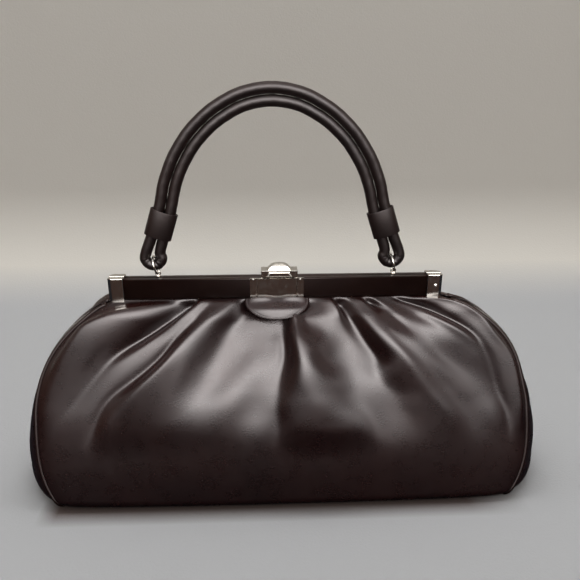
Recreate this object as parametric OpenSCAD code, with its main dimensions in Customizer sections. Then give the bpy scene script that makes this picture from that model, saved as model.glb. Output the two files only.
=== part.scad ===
// Frame handbag with a lift-lever clasp and a rolled leather handle.
// Millimetres, +Z up. The origin is on the table, under the middle of the bag.
// +X is the bag's right side, -Y is its front.

/* [Frame] */
// Width of the frame over its end caps
frame_w = 210; // [190:1:230]
// Height of the top edge of the leather-covered rails above the table
frame_top = 137; // [130:1:150]
// Height of a rail with its leather cover
rail_h = 12.9; // [11:0.1:15]
// Depth of one frame half, front to middle
half_depth = 4.4; // [4.2:0.1:6]
// Gap between the two closed halves
half_gap = 0.3; // [0.2:0.1:0.6]
// Thickness of the leather that covers the rails
cover_t = 0.7; // [0.5:0.1:0.9]
// Wall of the steel rail channels
rail_wall = 0.7; // [0.5:0.1:0.8]
// Distance from the rails' top down to the hinge rivets
hinge_drop = 52; // [46:1:56]
// Thickness of the flat steel legs
leg_t = 1.2; // [0.8:0.1:1.6]
// Width of the flat steel legs
leg_w = 2.0; // [1.6:0.1:2.2]
// Radius of the round eye at the foot of each leg
leg_eye_r = 4.2; // [3.8:0.1:5]
// Shank radius of the hinge rivets
rivet_r = 1.4; // [1.2:0.1:1.8]
// Head radius of the hinge rivets
rivet_head_r = 2.7; // [2.4:0.1:3.4]
// Thickness of the rivet heads
rivet_head_t = 0.8; // [0.6:0.1:1]

/* [End caps] */
// Width of each nickel end cap
cap_w = 9.4; // [8:0.1:11]
// Wall of the end caps
cap_wall = 0.7; // [0.6:0.1:0.8]
// How far a cap stands proud of the rail, in front and on top
cap_proud = 0.9; // [0.8:0.1:1.2]
// Width of the bevel down the outer corner
cap_bevel = 2.2; // [1:0.1:2.6]
// How far the front wall of a cap hangs below the rail
cap_hang = 1.6; // [0.6:0.1:1.6]
// Radius of the dimple rivet in a cap
cap_rivet_r = 1.3; // [0.9:0.1:1.6]

/* [Clasp] */
// Sideways offset of the lever from the middle of the frame
lever_x = 1.6; // [0:0.1:3]
// Width of the lever
lever_w = 22.8; // [20:0.1:26]
// Thickness of the lever plate
lever_t = 1.5; // [1.2:0.1:1.8]
// Height of the lever's top face above the rails
lever_rise = 5.0; // [4.6:0.1:5.6]
// How far the lever's lip stands in front of the rail
lever_reach = 1.0; // [0.8:0.1:1.6]
// Depth of the lip that hangs over the front plate
lip_h = 4.3; // [3.6:0.1:4.4]
// Width of the thumb piece on the lever
thumb_w = 14; // [12:0.1:16]
// Height of the thumb piece
thumb_h = 4.0; // [3:0.1:5]
// Radius of the clasp's pivot pin
pin_r = 0.8; // [0.6:0.1:0.9]
// Width of the front plate
plate_w = 33.6; // [30:0.1:38]
// Thickness of the front plate at its raised middle
plate_t = 1.9; // [1.6:0.1:2.4]
// Width of the padded lock tab
tab_w = 40.5; // [36:0.5:46]
// Length of the lock tab down the panel
tab_l = 17; // [15:0.5:20]
// Thickness of the lock tab's leather base
tab_t = 1.2; // [1:0.1:1.6]
// Rise of the tab's padding above its base
tab_pad = 2.2; // [1.6:0.1:3]
// Angle of the tab from the vertical
tab_angle = 48; // [40:1:56]

/* [Body] */
// Half width of the front panel at its widest seam
panel_half_w = 156; // [148:1:166]
// Half width of the panels at the table
foot_half_w = 142; // [134:1:150]
// Height of the widest point of the seam
widest_z = 55; // [45:1:65]
// Depth of the bag at its base
base_depth = 96; // [86:1:108]
// Thickness of the leather
leather_t = 1.4; // [1.2:0.1:1.8]
// Radius of the bottom edges
edge_r = 7; // [5:0.5:10]
// How far the end gussets bulge past the seams
gusset_bulge = 18; // [10:0.5:20]
// Radius of the piping in the seams
piping_r = 1.3; // [1:0.1:1.6]
// Clearance between soft pieces that move past each other
soft_gap = 0.4; // [0.3:0.05:0.6]
// Number of gathers across a panel
gathers = 15; // [11:2:19]
// Depth of the gathers
gather_depth = 1.4; // [0.6:0.1:2]

/* [Inside] */
// Thickness of the base board
board_t = 2; // [1.5:0.1:3]
// Thickness of the lining
lining_t = 0.5; // [0.4:0.1:0.8]
// Width of the inner pocket
pocket_w = 120; // [90:1:140]
// Height of the inner pocket
pocket_h = 40; // [30:1:44]

/* [Handle] */
// Radius of the rolled leather tube
tube_r = 3.5; // [3.2:0.1:3.6]
// Radius of the tube where it loops round a ring
loop_tube_r = 3.4; // [3.1:0.1:3.5]
// Radius of the loop's middle line
loop_r = 5.3; // [5.2:0.1:5.6]
// Distance between the two eyes
eye_span = 149.2; // [140:0.1:158]
// Sideways offset of the handle from the eyes, to the left
handle_shift = 2.0; // [1:0.1:2.4]
// Length of the leather collars
collar_l = 17; // [14:0.5:19]
// Wall of the leather collars
collar_t = 1.0; // [0.8:0.1:1.3]
// Radius of the ring's middle line
ring_r = 5.5; // [5.5:0.1:5.8]
// Radius of the ring's wire
wire_r = 0.65; // [0.55:0.05:0.7]

/* [Hidden] */
$fn = 48;

leather_color = [0.16, 0.10, 0.09];
trim_color = [0.24, 0.16, 0.14];
nickel_color = [0.72, 0.70, 0.66];
steel_color = [0.50, 0.50, 0.52];
lining_color = [0.55, 0.45, 0.36];
board_color = [0.42, 0.35, 0.27];

// Small clearances
fit_gap = 0.05;
touch_gap = 0.2;
seam_gap = 0.35;
cut = 1;

// Heights
hinge_z = frame_top - hinge_drop;
rail_bottom = frame_top - rail_h;
panel_top_z = rail_bottom;
split_z = hinge_z;
upper_overlap = 2;

// Depths of a closed frame half, from the middle outwards
inner_y = half_gap / 2;
strip_t = 0.7;
rail_in_y = inner_y + strip_t + fit_gap;
rail_out_y = half_depth - cover_t;
slot_in_y = rail_in_y + rail_wall;
slot_out_y = rail_out_y - rail_wall;

// The frame's ends: each rear leg stands outside the front one
cap_out_x = frame_w / 2;
cap_in_x = cap_out_x - cap_w;
cap_room = 4.8;
leg_gap = 0.3;
rail_end_x = cap_out_x - cap_wall - cap_room;
rear_leg_x = rail_end_x - leg_t;
front_leg_x = rear_leg_x - leg_gap - leg_t;
strip_end_x = cap_in_x - 1;

// The bag's outline, as functions of the height z
top_depth = half_depth - touch_gap;
top_half_w = cap_out_x - 2;
seam_top_depth = top_depth - 0.3;
seam_base_depth = base_depth / 2 - 4;
side_curve = 2.2;
middle_curve = 1.9;
middle_round = 0.8;
seam_curve = 1.2;
across_curve = 2.6;
bulge_curve = 0.34;
gather_curve = 2.4;
function rise(z) = min(1, max(0, z / panel_top_z));
function half_w(z) = z < widest_z
    ? panel_half_w - (panel_half_w - foot_half_w) * pow((widest_z - z) / widest_z, 2)
    : panel_half_w - (panel_half_w - top_half_w)
        * pow((z - widest_z) / (panel_top_z - widest_z), side_curve);
function side_slope(z) = z < widest_z
    ? 2 * (panel_half_w - foot_half_w) * (widest_z - z) / pow(widest_z, 2)
    : side_curve * (panel_half_w - top_half_w)
        * pow((z - widest_z) / (panel_top_z - widest_z), side_curve - 1)
        / (panel_top_z - widest_z);
function seam_lean(z) = sqrt(1 + pow(side_slope(z), 2));
function panel_end(z) = half_w(z) - 2 * piping_r * seam_lean(z) - seam_gap;
function middle_depth(z) = top_depth
    + (base_depth / 2 - top_depth) * pow(1 - pow(rise(z), middle_curve), middle_round);
function seam_depth(z) = seam_top_depth
    + (seam_base_depth - seam_top_depth) * (1 - pow(rise(z), seam_curve));
function depth(z, u) = seam_depth(z)
    + (middle_depth(z) - seam_depth(z)) * (1 - pow(abs(u), across_curve));
function bulge(z) = gusset_bulge * sin(180 * pow(rise(z), bulge_curve));
function gather_fade(z) = sin(180 * pow(rise(z), gather_curve));
function gather(z, u) = gather_depth * gather_fade(z) * (1 - pow(abs(u), 4)) * cos(180 * gathers * u);

// A closed solid between two grids of points with the same rows and columns
function grid_quads(rows, cols, start, flip) = [
    for (i = [0 : rows - 2], j = [0 : cols - 2])
        let (a = start + i * cols + j, b = a + 1, c = a + cols + 1, d = a + cols)
        each (flip ? [[a, c, b], [a, d, c]] : [[a, b, c], [a, c, d]])
];
function edge_quads(outer_ids, inner_ids) = [
    for (k = [0 : len(outer_ids) - 2])
        let (a = outer_ids[k], b = outer_ids[k + 1], c = inner_ids[k + 1], d = inner_ids[k])
        each [[a, c, b], [a, d, c]]
];
module sheet_solid(outer, inner, flip = false) {
    rows = len(outer);
    cols = len(outer[0]);
    count = rows * cols;
    border = concat(
        [for (j = [0 : cols - 1]) j],
        [for (i = [1 : rows - 1]) i * cols + cols - 1],
        [for (j = [cols - 2 : -1 : 0]) (rows - 1) * cols + j],
        [for (i = [rows - 2 : -1 : 0]) i * cols]
    );
    faces = concat(
        grid_quads(rows, cols, 0, false),
        grid_quads(rows, cols, count, true),
        edge_quads(border, [for (id = border) id + count])
    );
    points = concat([for (row = outer) each row], [for (row = inner) each row]);
    polyhedron(points, flip ? [for (f = faces) [f[0], f[2], f[1]]] : faces, convexity = 8);
}

// Vectors
function unit(v) = v / norm(v);
function smooth_point(a, b, c, d, t) = 0.5 * ((2 * b) + (c - a) * t
    + (2 * a - 5 * b + 4 * c - d) * t * t + (3 * b - a - 3 * c + d) * t * t * t);
function smooth_closed(p, steps) = [
    for (i = [0 : len(p) - 1], s = [0 : steps - 1])
        let (n = len(p))
        smooth_point(p[(i + n - 1) % n], p[i], p[(i + 1) % n], p[(i + 2) % n], s / steps)
];

// A tube round a path; side is a direction that the path never runs along
module tube_solid(path, radii, side, closed, sides = 8) {
    n = len(path);
    tangents = [for (i = [0 : n - 1])
        closed
            ? unit(path[(i + 1) % n] - path[(i + n - 1) % n])
            : unit(path[min(i + 1, n - 1)] - path[max(i - 1, 0)])];
    points = [for (i = [0 : n - 1], k = [0 : sides - 1])
        let (a = unit(cross(tangents[i], side)), b = cross(tangents[i], a), t = 360 * k / sides)
        path[i] + radii[i] * (a * cos(t) + b * sin(t))];
    wraps = [for (i = [0 : (closed ? n - 1 : n - 2)], k = [0 : sides - 1])
        let (
            p = i * sides + k,
            q = i * sides + (k + 1) % sides,
            r = ((i + 1) % n) * sides + (k + 1) % sides,
            s = ((i + 1) % n) * sides + k
        )
        each [[p, r, q], [p, s, r]]];
    ends = closed ? [] : [
        [for (k = [0 : sides - 1]) k],
        [for (k = [sides - 1 : -1 : 0]) (n - 1) * sides + k]
    ];
    polyhedron(points, concat(wraps, ends), convexity = 8);
}

// Moves the front half's shapes to the rear
module rear() {
    mirror([0, 1, 0]) children();
}
module other_side() {
    mirror([1, 0, 0]) children();
}

// A bar along X from its outline in the Y-Z plane
module along_x(length) {
    translate([-length / 2, 0, 0])
        rotate([90, 0, 90])
        linear_extrude(length)
        children();
}

// Body leather: front, base and rear in one piece

shell_cols = 20;
wall_rows = 7;
corner_rows = 4;
base_rows = 2;
wall_low = edge_r;
function wall_z(i) = split_z + (wall_low - split_z) * i / wall_rows;
function front_wall(grow) = [for (i = [0 : wall_rows])
    [for (j = [0 : shell_cols])
        let (z = wall_z(i), u = 2 * j / shell_cols - 1, fade = i / wall_rows)
        [u * panel_end(z), -depth(z, u) - soft_gap * (1 - fade) - grow, z]]];
function front_corner(grow) = [for (i = [1 : corner_rows])
    [for (j = [0 : shell_cols])
        let (
            u = 2 * j / shell_cols - 1,
            t = 90 * i / corner_rows,
            z = edge_r - (edge_r + grow - leather_t) * sin(t),
            y0 = depth(wall_low, u) - (edge_r - leather_t)
        )
        [u * panel_end(max(z, 0)), -y0 - (edge_r - leather_t + grow) * cos(t), z]]];
function base_rows_at(grow) = [for (i = [1 : base_rows - 1])
    [for (j = [0 : shell_cols])
        let (
            u = 2 * j / shell_cols - 1,
            y0 = depth(wall_low, u) - (edge_r - leather_t),
            z = leather_t - grow
        )
        [u * panel_end(0), -y0 * (1 - 2 * i / base_rows), z]]];
function mirrored_rows(rows) = [for (i = [len(rows) - 1 : -1 : 0])
    [for (p = rows[i]) [p[0], -p[1], p[2]]]];
function shell_grid(grow) = let (front = concat(front_wall(grow), front_corner(grow)))
    concat(front, base_rows_at(grow), mirrored_rows(front));

module body_shell() {
    color(leather_color)
        sheet_solid(shell_grid(leather_t), shell_grid(0));
}

// The gathered upper panel, which is held by its half of the frame

panel_cols = 60;
panel_rows = 8;
function panel_z(i) = panel_top_z + (split_z - upper_overlap - panel_top_z) * i / panel_rows;
function panel_grid(inset) = [for (i = [0 : panel_rows])
    [for (j = [0 : panel_cols])
        let (z = panel_z(i), u = 2 * j / panel_cols - 1)
        [u * panel_end(z), -depth(z, u) + inset + gather_depth * gather_fade(z) - gather(z, u), z]]];

module panel_top() {
    color(leather_color)
        sheet_solid(panel_grid(0), panel_grid(leather_t));
}
module front_panel_top() {
    panel_top();
}
module rear_panel_top() {
    rear() panel_top();
}

// End gussets, with a fold that stands out down the middle

gusset_rows = 14;
gusset_cols = 8;
gusset_top_z = panel_top_z - 2 * touch_gap;
gusset_foot_z = 2 * piping_r + seam_gap;
function gusset_z(i) = gusset_top_z + (gusset_foot_z - gusset_top_z) * i / gusset_rows;
function foot_pull(z) = z < edge_r ? edge_r - sqrt(max(0, edge_r * edge_r - pow(edge_r - z, 2))) : 0;
seam_tilt = 1.1;
gusset_round = 2;
gusset_least = 0.4;
function seam_line(z) = seam_depth(z) + leather_t * (1 - rise(z)) - foot_pull(z);
function gusset_half(z) = seam_line(z) - 2 * piping_r * seam_tilt - seam_gap;
function gusset_x(z, s, inset) = half_w(z) - inset - touch_gap + bulge(z) * (1 - pow(abs(s), gusset_round));
function gusset_grid(inset) = [for (i = [0 : gusset_rows])
    [for (j = [0 : gusset_cols])
        let (z = gusset_z(i), s = 2 * j / gusset_cols - 1)
        [gusset_x(z, s, inset), s * max(gusset_least, gusset_half(z)), z]]];

module gusset() {
    color(leather_color)
        sheet_solid(gusset_grid(0), gusset_grid(leather_t));
}
module right_gusset() {
    gusset();
}
module left_gusset() {
    other_side() gusset();
}

// Piping in the seams, from the front top down, under the base edge and up the rear

piping_steps = 15;
piping_top_z = panel_top_z - 3;
function piping_run() = [for (i = [0 : piping_steps])
    let (t = i / piping_steps, z = piping_r + 0.02 + (piping_top_z - piping_r) * (1 - t))
    [half_w(z) - piping_r * seam_lean(z), piping_r - seam_line(z), z]];
function piping_path() = let (front = piping_run())
    concat(front, [for (i = [len(front) - 1 : -1 : 0]) [front[i][0], -front[i][1], front[i][2]]]);

module piping() {
    path = piping_path();
    color(trim_color)
        tube_solid(path, [for (p = path) piping_r], [1, 0, 0], false, 6);
}
module right_piping() {
    piping();
}
module left_piping() {
    other_side() piping();
}

// Base board, lining and pocket

lining_gap = 0.4;
lining_top_drop = 15;
lining_top_z = split_z - lining_top_drop;
lining_cols = 32;
lining_rows = 8;
lining_side_gap = 7;
board_side_gap = 2;
board_end_gap = 12;
foot_inset = 2;
corner_x = 0.45;
corner_y = 0.75;
board_z = leather_t + touch_gap;
lining_low_z = board_z + board_t + touch_gap;
function oval(a) = [
    sign(cos(a)) * pow(abs(cos(a)), corner_x),
    sign(sin(a)) * pow(abs(sin(a)), corner_y)
];
function lining_half_x(z) = half_w(z) - lining_side_gap;
function lining_half_y(z) = middle_depth(z) - leather_t - lining_gap
    - (z < edge_r + board_t ? foot_inset : 0);
function lining_z(i) = lining_low_z + (lining_top_z - lining_low_z) * i / lining_rows;
function lining_ring(z, inset) = [for (k = [0 : lining_cols - 1])
    let (
        o = oval(360 * k / lining_cols),
        u = abs(o[0]),
        reach = min(1, depth(z, u) / middle_depth(z))
    )
    [o[0] * (lining_half_x(z) - inset), o[1] * (lining_half_y(z) * reach - inset), z]];

module lining_bag() {
    n = lining_cols;
    levels = lining_rows + 1;
    outer = [for (i = [0 : lining_rows]) each lining_ring(lining_z(i), 0)];
    inner = [for (i = [0 : lining_rows])
        each [for (p = lining_ring(lining_z(i), lining_t)) [p[0], p[1], i == 0 ? p[2] + lining_t : p[2]]]];
    count = n * levels;
    function wrap(start, flip) = [for (i = [0 : levels - 2], k = [0 : n - 1])
        let (
            a = start + i * n + k,
            b = start + i * n + (k + 1) % n,
            c = start + (i + 1) * n + (k + 1) % n,
            d = start + (i + 1) * n + k
        )
        each (flip ? [[a, b, c], [a, c, d]] : [[a, c, b], [a, d, c]])];
    rim = [for (k = [0 : n - 1])
        let (a = (levels - 1) * n + k, b = (levels - 1) * n + (k + 1) % n)
        each [[a, b + count, b], [a, a + count, b + count]]];
    floor_outer = [[for (k = [0 : n - 1]) k]];
    floor_inner = [[for (k = [n - 1 : -1 : 0]) count + k]];
    color(lining_color)
        polyhedron(
            concat(outer, inner),
            concat(wrap(0, false), wrap(count, true), rim, floor_outer, floor_inner),
            convexity = 8
        );
}

module base_board() {
    board_y = base_depth / 2 - edge_r - board_side_gap;
    board_x = foot_half_w - board_end_gap;
    color(board_color)
        translate([-board_x, -board_y, board_z])
        cube([2 * board_x, 2 * board_y, board_t]);
}

pocket_low_z = 14;
pocket_t = 0.8;
pocket_seat = 1.2;
pocket_gape = 2.5;
pocket_rows = 4;
pocket_cols = 6;
function pocket_grid(inset) = [for (i = [0 : pocket_rows])
    [for (j = [0 : pocket_cols])
        let (
            z = pocket_low_z + pocket_h * (1 - i / pocket_rows),
            x = pocket_w * (j / pocket_cols - 0.5),
            gape = pocket_gape * pow(1 - i / pocket_rows, 2) * (1 - pow(2 * j / pocket_cols - 1, 4)),
            back = lining_half_y(z) * min(1, depth(z, x / half_w(z)) / middle_depth(z))
        )
        [x, back - lining_t - pocket_seat - gape - inset, z]]];
module inner_pocket() {
    color(lining_color)
        sheet_solid(pocket_grid(pocket_t), pocket_grid(0));
}

// Upper lining on each frame half

lining_top_cols = 10;
lining_top_rows = 7;
lining_end_gap = 2;
lining_top_half_w = strip_end_x - lining_end_gap;
lining_drop = 13;
lining_draw = 0.93;
lining_set_back = 0.3;
function lining_top_z_at(i) = rail_bottom - touch_gap
    + (split_z - lining_drop - rail_bottom + touch_gap) * i / lining_top_rows;
function lining_top_y(z, x) = let (u = x / half_w(z))
    max(inner_y + lining_t + fit_gap,
        (depth(z, u) - leather_t - 2 * gather_depth * gather_fade(z) - 2 * lining_gap) * lining_draw
            - lining_set_back);
function lining_top_grid(inset) = [for (i = [0 : lining_top_rows])
    [for (j = [0 : lining_top_cols])
        let (z = lining_top_z_at(i), x = lining_top_half_w * (2 * j / lining_top_cols - 1))
        [x, -lining_top_y(z, x) + inset, z]]];
module lining_top() {
    color(lining_color)
        sheet_solid(lining_top_grid(0), lining_top_grid(lining_t));
}
module front_lining_top() {
    lining_top();
}
module rear_lining_top() {
    rear() lining_top();
}

// Frame halves: a steel channel with a leg at each end, joined by rivets

module rail_profile() {
    difference() {
        translate([-rail_out_y, rail_bottom + cover_t])
            square([rail_out_y - rail_in_y, rail_h - 2 * cover_t]);
        translate([-slot_out_y, rail_bottom - cut])
            square([slot_out_y - slot_in_y, rail_h - cover_t - rail_wall + cut]);
    }
}
module leg(x) {
    leg_mid = -(inner_y + touch_gap + leg_w / 2);
    translate([x, 0, hinge_z])
        rotate([0, 90, 0])
        linear_extrude(leg_t)
        difference() {
            union() {
                translate([-hinge_drop + cover_t + rail_wall, leg_mid - leg_w / 2])
                    square([hinge_drop - cover_t - rail_wall, leg_w]);
                circle(leg_eye_r);
            }
            circle(rivet_r + fit_gap);
        }
}
module frame_half(leg_x) {
    color(steel_color) {
        along_x(2 * rail_end_x)
            rail_profile();
        leg(leg_x);
        other_side() leg(leg_x);
    }
}
module front_rail() {
    difference() {
        frame_half(front_leg_x);
        clasp_tail_holes();
    }
}
module rear_rail() {
    rear() difference() {
        frame_half(rear_leg_x);
        eye_tail_holes();
    }
}

module hinge_rivet() {
    head_in = front_leg_x - touch_gap / 2;
    head_out = rear_leg_x + leg_t + touch_gap / 2;
    color(nickel_color)
        translate([0, 0, hinge_z])
        rotate([0, 90, 0]) {
            translate([0, 0, head_in])
                cylinder(h = head_out - head_in, r = rivet_r);
            translate([0, 0, head_in - rivet_head_t])
                cylinder(h = rivet_head_t, r = rivet_head_r);
            translate([0, 0, head_out])
                cylinder(h = rivet_head_t, r = rivet_head_r);
        }
}
module right_hinge_rivet() {
    hinge_rivet();
}
module left_hinge_rivet() {
    other_side() hinge_rivet();
}

// Leather cover of a rail: down the face, over the top and under the bottom
module cover_profile() {
    difference() {
        translate([-half_depth, rail_bottom])
            square([half_depth - inner_y, rail_h]);
        translate([-rail_out_y, rail_bottom + cover_t])
            square([rail_out_y, rail_h - 2 * cover_t]);
        translate([-slot_out_y, rail_bottom - cut])
            square([slot_out_y, cover_t + 2 * cut]);
    }
}
module rail_cover() {
    color(leather_color)
        along_x(2 * (cap_in_x - fit_gap))
        cover_profile();
}
module front_rail_cover() {
    difference() {
        rail_cover();
        clasp_tail_holes();
    }
}
module rear_rail_cover() {
    rear() difference() {
        rail_cover();
        eye_tail_holes();
    }
}

// Inner strip that holds the lining against the rail
module inner_strip() {
    strip_low = rail_bottom + cover_t;
    strip_high = frame_top - cover_t - fit_gap;
    color(steel_color)
        translate([-strip_end_x, -inner_y - strip_t, strip_low])
        cube([2 * strip_end_x, strip_t, strip_high - strip_low]);
}
module front_inner_strip() {
    inner_strip();
}
module rear_inner_strip() {
    rear() inner_strip();
}

// End cap: an open nickel shell with a bevelled outer corner and a flush inner face

cap_front_y = half_depth + cap_proud;
cap_top_z = frame_top + cap_proud;
cap_low_z = rail_bottom - cap_hang;
cap_h = cap_top_z - cap_low_z;
bevel_depth = cap_bevel * 0.8;
bevel_wall = 0.4;
seat_gap = 0.02;
module cap_outline(inset) {
    polygon([
        [cap_in_x - (inset > 0 ? cut : 0), -cap_front_y + inset],
        [cap_out_x - cap_bevel - inset * bevel_wall, -cap_front_y + inset],
        [cap_out_x - inset, -cap_front_y + bevel_depth + inset * bevel_wall],
        [cap_out_x - inset, -inner_y + (inset > 0 ? cut : 0)],
        [cap_in_x - (inset > 0 ? cut : 0), -inner_y + (inset > 0 ? cut : 0)]
    ]);
}
module end_cap() {
    color(nickel_color)
        difference() {
            translate([0, 0, cap_low_z])
                linear_extrude(cap_h)
                cap_outline(0);
            translate([0, 0, cap_low_z - cut])
                linear_extrude(cap_h - cap_wall + cut)
                cap_outline(cap_wall);
            translate([cap_in_x - cut, -half_depth + seat_gap, cap_low_z - cut])
                cube([cap_w + 2 * cut, half_depth + cut, cap_hang + cut + touch_gap]);
        }
}
module front_right_cap() {
    difference() {
        end_cap();
        cap_rivet_hole();
    }
}
module front_left_cap() {
    other_side() end_cap();
}
module rear_right_cap() {
    rear() end_cap();
}
module rear_left_cap() {
    rear() other_side() end_cap();
}

cap_rivet_x = (cap_in_x + cap_out_x) / 2 + 0.3;
cap_rivet_z = frame_top - 6;
cap_rivet_shank_r = cap_rivet_r * 0.6;
module at_cap_rivet() {
    translate([cap_rivet_x, -cap_front_y + cap_wall, cap_rivet_z])
        rotate([90, 0, 0])
        children();
}
module cap_rivet_hole() {
    at_cap_rivet()
        translate([0, 0, -cut])
        cylinder(h = cap_wall + 2 * cut, r = cap_rivet_shank_r + fit_gap);
}
module front_cap_rivet() {
    dome_r = cap_rivet_r * 1.25;
    dome_base = sqrt(dome_r * dome_r - cap_rivet_r * cap_rivet_r);
    color(nickel_color)
        at_cap_rivet() {
            cylinder(h = cap_wall, r = cap_rivet_shank_r);
            translate([0, 0, cap_wall])
                intersection() {
                    translate([0, 0, -dome_base])
                        sphere(dome_r);
                    cylinder(h = dome_r, r = cap_rivet_r);
                }
        }
}

// Clasp: plate and keeper on the front half

plate_low_z = rail_bottom + touch_gap;
plate_high_z = frame_top + touch_gap;
plate_base_t = 0.8;
plate_step = 1.7;
plate_groove = 1.2;
plate_bevel = 1.6;
plate_bead_t = plate_t * 0.8;
plate_slant = 0.5;
tail_r = 0.6;
tail_end = 0.5;
tail_l = cover_t + rail_wall + tail_end;
clasp_tail_x = 11;
clasp_tail_z = (plate_low_z + plate_high_z) / 2;
module at_clasp_tails() {
    for (side = [-1, 1])
        translate([side * clasp_tail_x, -half_depth, clasp_tail_z])
            rotate([-90, 0, 0])
            children();
}
module clasp_tail_holes() {
    at_clasp_tails()
        translate([0, 0, -cut])
        cylinder(h = tail_l + cut, r = tail_r + fit_gap);
}
// Half of the plate's section from above: flange, groove, bead and raised middle
function plate_half_section() = let (
    e = plate_w / 2,
    y0 = half_depth,
    bead_out = e - plate_step,
    bead_in = bead_out - plate_step,
    panel_x = bead_in - plate_groove
) [
    [e, y0],
    [e, y0 + plate_base_t],
    [bead_out, y0 + plate_base_t],
    [bead_out, y0 + plate_bead_t],
    [bead_in, y0 + plate_bead_t],
    [bead_in, y0 + plate_base_t],
    [panel_x + plate_slant, y0 + plate_base_t],
    [panel_x, y0 + plate_t]
];
module clasp_plate() {
    half = plate_half_section();
    points = concat(
        [for (p = half) [p[0], -p[1]]],
        [for (i = [len(half) - 1 : -1 : 0]) [-half[i][0], -half[i][1]]]
    );
    corner = plate_w / 2 - plate_bevel / 2;
    color(nickel_color) {
        difference() {
            translate([0, 0, plate_low_z])
                linear_extrude(plate_high_z - plate_low_z)
                polygon(points);
            for (side = [-1, 1])
                translate([side * corner, -half_depth - plate_t, plate_high_z])
                    rotate([45, 0, 0])
                    cube([plate_bevel + 2 * cut, plate_bevel, plate_bevel], center = true);
        }
        at_clasp_tails()
            translate([0, 0, -fit_gap])
            cylinder(h = tail_l - touch_gap, r = tail_r);
    }
}

// Low keeper on the front half's top, which the lever's spring comes down on
keeper_w = 12;
keeper_h = 0.5;
keeper_d = 2.6;
keeper_set_back = 0.5;
keeper_hollow_r = 0.9;
keeper_hollow_rise = 0.6;
module clasp_keeper() {
    color(nickel_color)
        difference() {
            translate([lever_x - keeper_w / 2, -half_depth + keeper_set_back, frame_top])
                cube([keeper_w, keeper_d, keeper_h]);
            translate([
                lever_x,
                -half_depth + keeper_set_back + keeper_d / 2,
                frame_top + keeper_h + keeper_hollow_rise
            ])
                rotate([0, 90, 0])
                cylinder(h = keeper_w + 2 * cut, r = keeper_hollow_r, center = true);
        }
}

// Padded half-moon tab under the plate
tab_set_back = 0.3;
tab_top_y = half_depth + plate_t - tab_set_back;
tab_rim = 1.4;
tab_tuck = 0.7;
tab_round = 0.86;
function bow_r(chord, height) = (chord * chord / 4 + height * height) / (2 * height);
module half_moon(half_width, length) {
    steps = 24;
    polygon([for (i = [0 : steps])
        let (a = 180 * i / steps)
        [half_width * cos(a), -length * pow(sin(a), tab_round)]]);
}
module lock_tab() {
    pad_w = tab_w - 2 * tab_rim;
    pad_l = tab_l - tab_rim;
    long_r = bow_r(pad_l + tab_rim, tab_pad);
    wide_r = bow_r(pad_w + tab_rim, tab_pad);
    color(leather_color)
        translate([0, -tab_top_y, plate_low_z - tab_tuck])
        rotate([90 - tab_angle, 0, 0]) {
            linear_extrude(tab_t)
                half_moon(tab_w / 2, tab_l);
            intersection() {
                linear_extrude(tab_t + tab_pad)
                    half_moon(pad_w / 2, pad_l);
                translate([0, -pad_l / 2, tab_t + tab_pad - long_r])
                    rotate([0, 90, 0])
                    cylinder(h = tab_w, r = long_r, center = true);
                translate([0, 0, tab_t + tab_pad - wide_r])
                    rotate([90, 0, 0])
                    cylinder(h = 3 * tab_l, r = wide_r, center = true, $fn = 128);
            }
        }
}

// Clasp: bracket, pin, spring and lever on the rear half

pivot_y = half_depth - 0.9;
pivot_z = frame_top + 2.4;
barrel_r = 1.6;
ear_t = 1.2;
ear_inset = 4;
ear_x = lever_w / 2 - ear_inset;
bracket_t = 0.5;
thumb_d = 7.6;
thumb_set_back = 1.2;
bracket_set_back = 0.5;
spring_w = 8;
spring_t = 0.3;
spring_h = 1.4;
web_in = barrel_r * 0.6;
web_w = barrel_r * 1.1;
web_drop = 0.4;
lip_ease = 1.2;
face_share = 0.68;
face_h = lip_h * 0.62;
face_step = 0.2;
face_inset = 0.35;
face_drop = 0.1;
overlap = 0.01;
lever_top_z = frame_top + lever_rise;
lever_front_y = half_depth + lever_reach;
module at_pivot() {
    translate([lever_x, pivot_y, pivot_z])
        rotate([0, 90, 0])
        children();
}
module clasp_bracket() {
    base_w = 2 * ear_x + ear_t;
    color(nickel_color)
        difference() {
            union() {
                translate([lever_x - base_w / 2, inner_y + bracket_set_back, frame_top])
                    cube([base_w, half_depth - inner_y - bracket_set_back, bracket_t]);
                for (side = [-1, 1])
                    translate([lever_x + side * ear_x - ear_t / 2, 0, 0]) {
                        translate([0, pivot_y - barrel_r, frame_top])
                            cube([ear_t, 2 * barrel_r, pivot_z - frame_top]);
                        translate([0, pivot_y, pivot_z])
                            rotate([0, 90, 0])
                            cylinder(h = ear_t, r = barrel_r);
                    }
            }
            at_pivot()
                cylinder(h = lever_w, r = pin_r + fit_gap, center = true);
        }
}
module clasp_pin() {
    color(steel_color)
        at_pivot()
        cylinder(h = lever_w - 1, r = pin_r, center = true);
}
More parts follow.
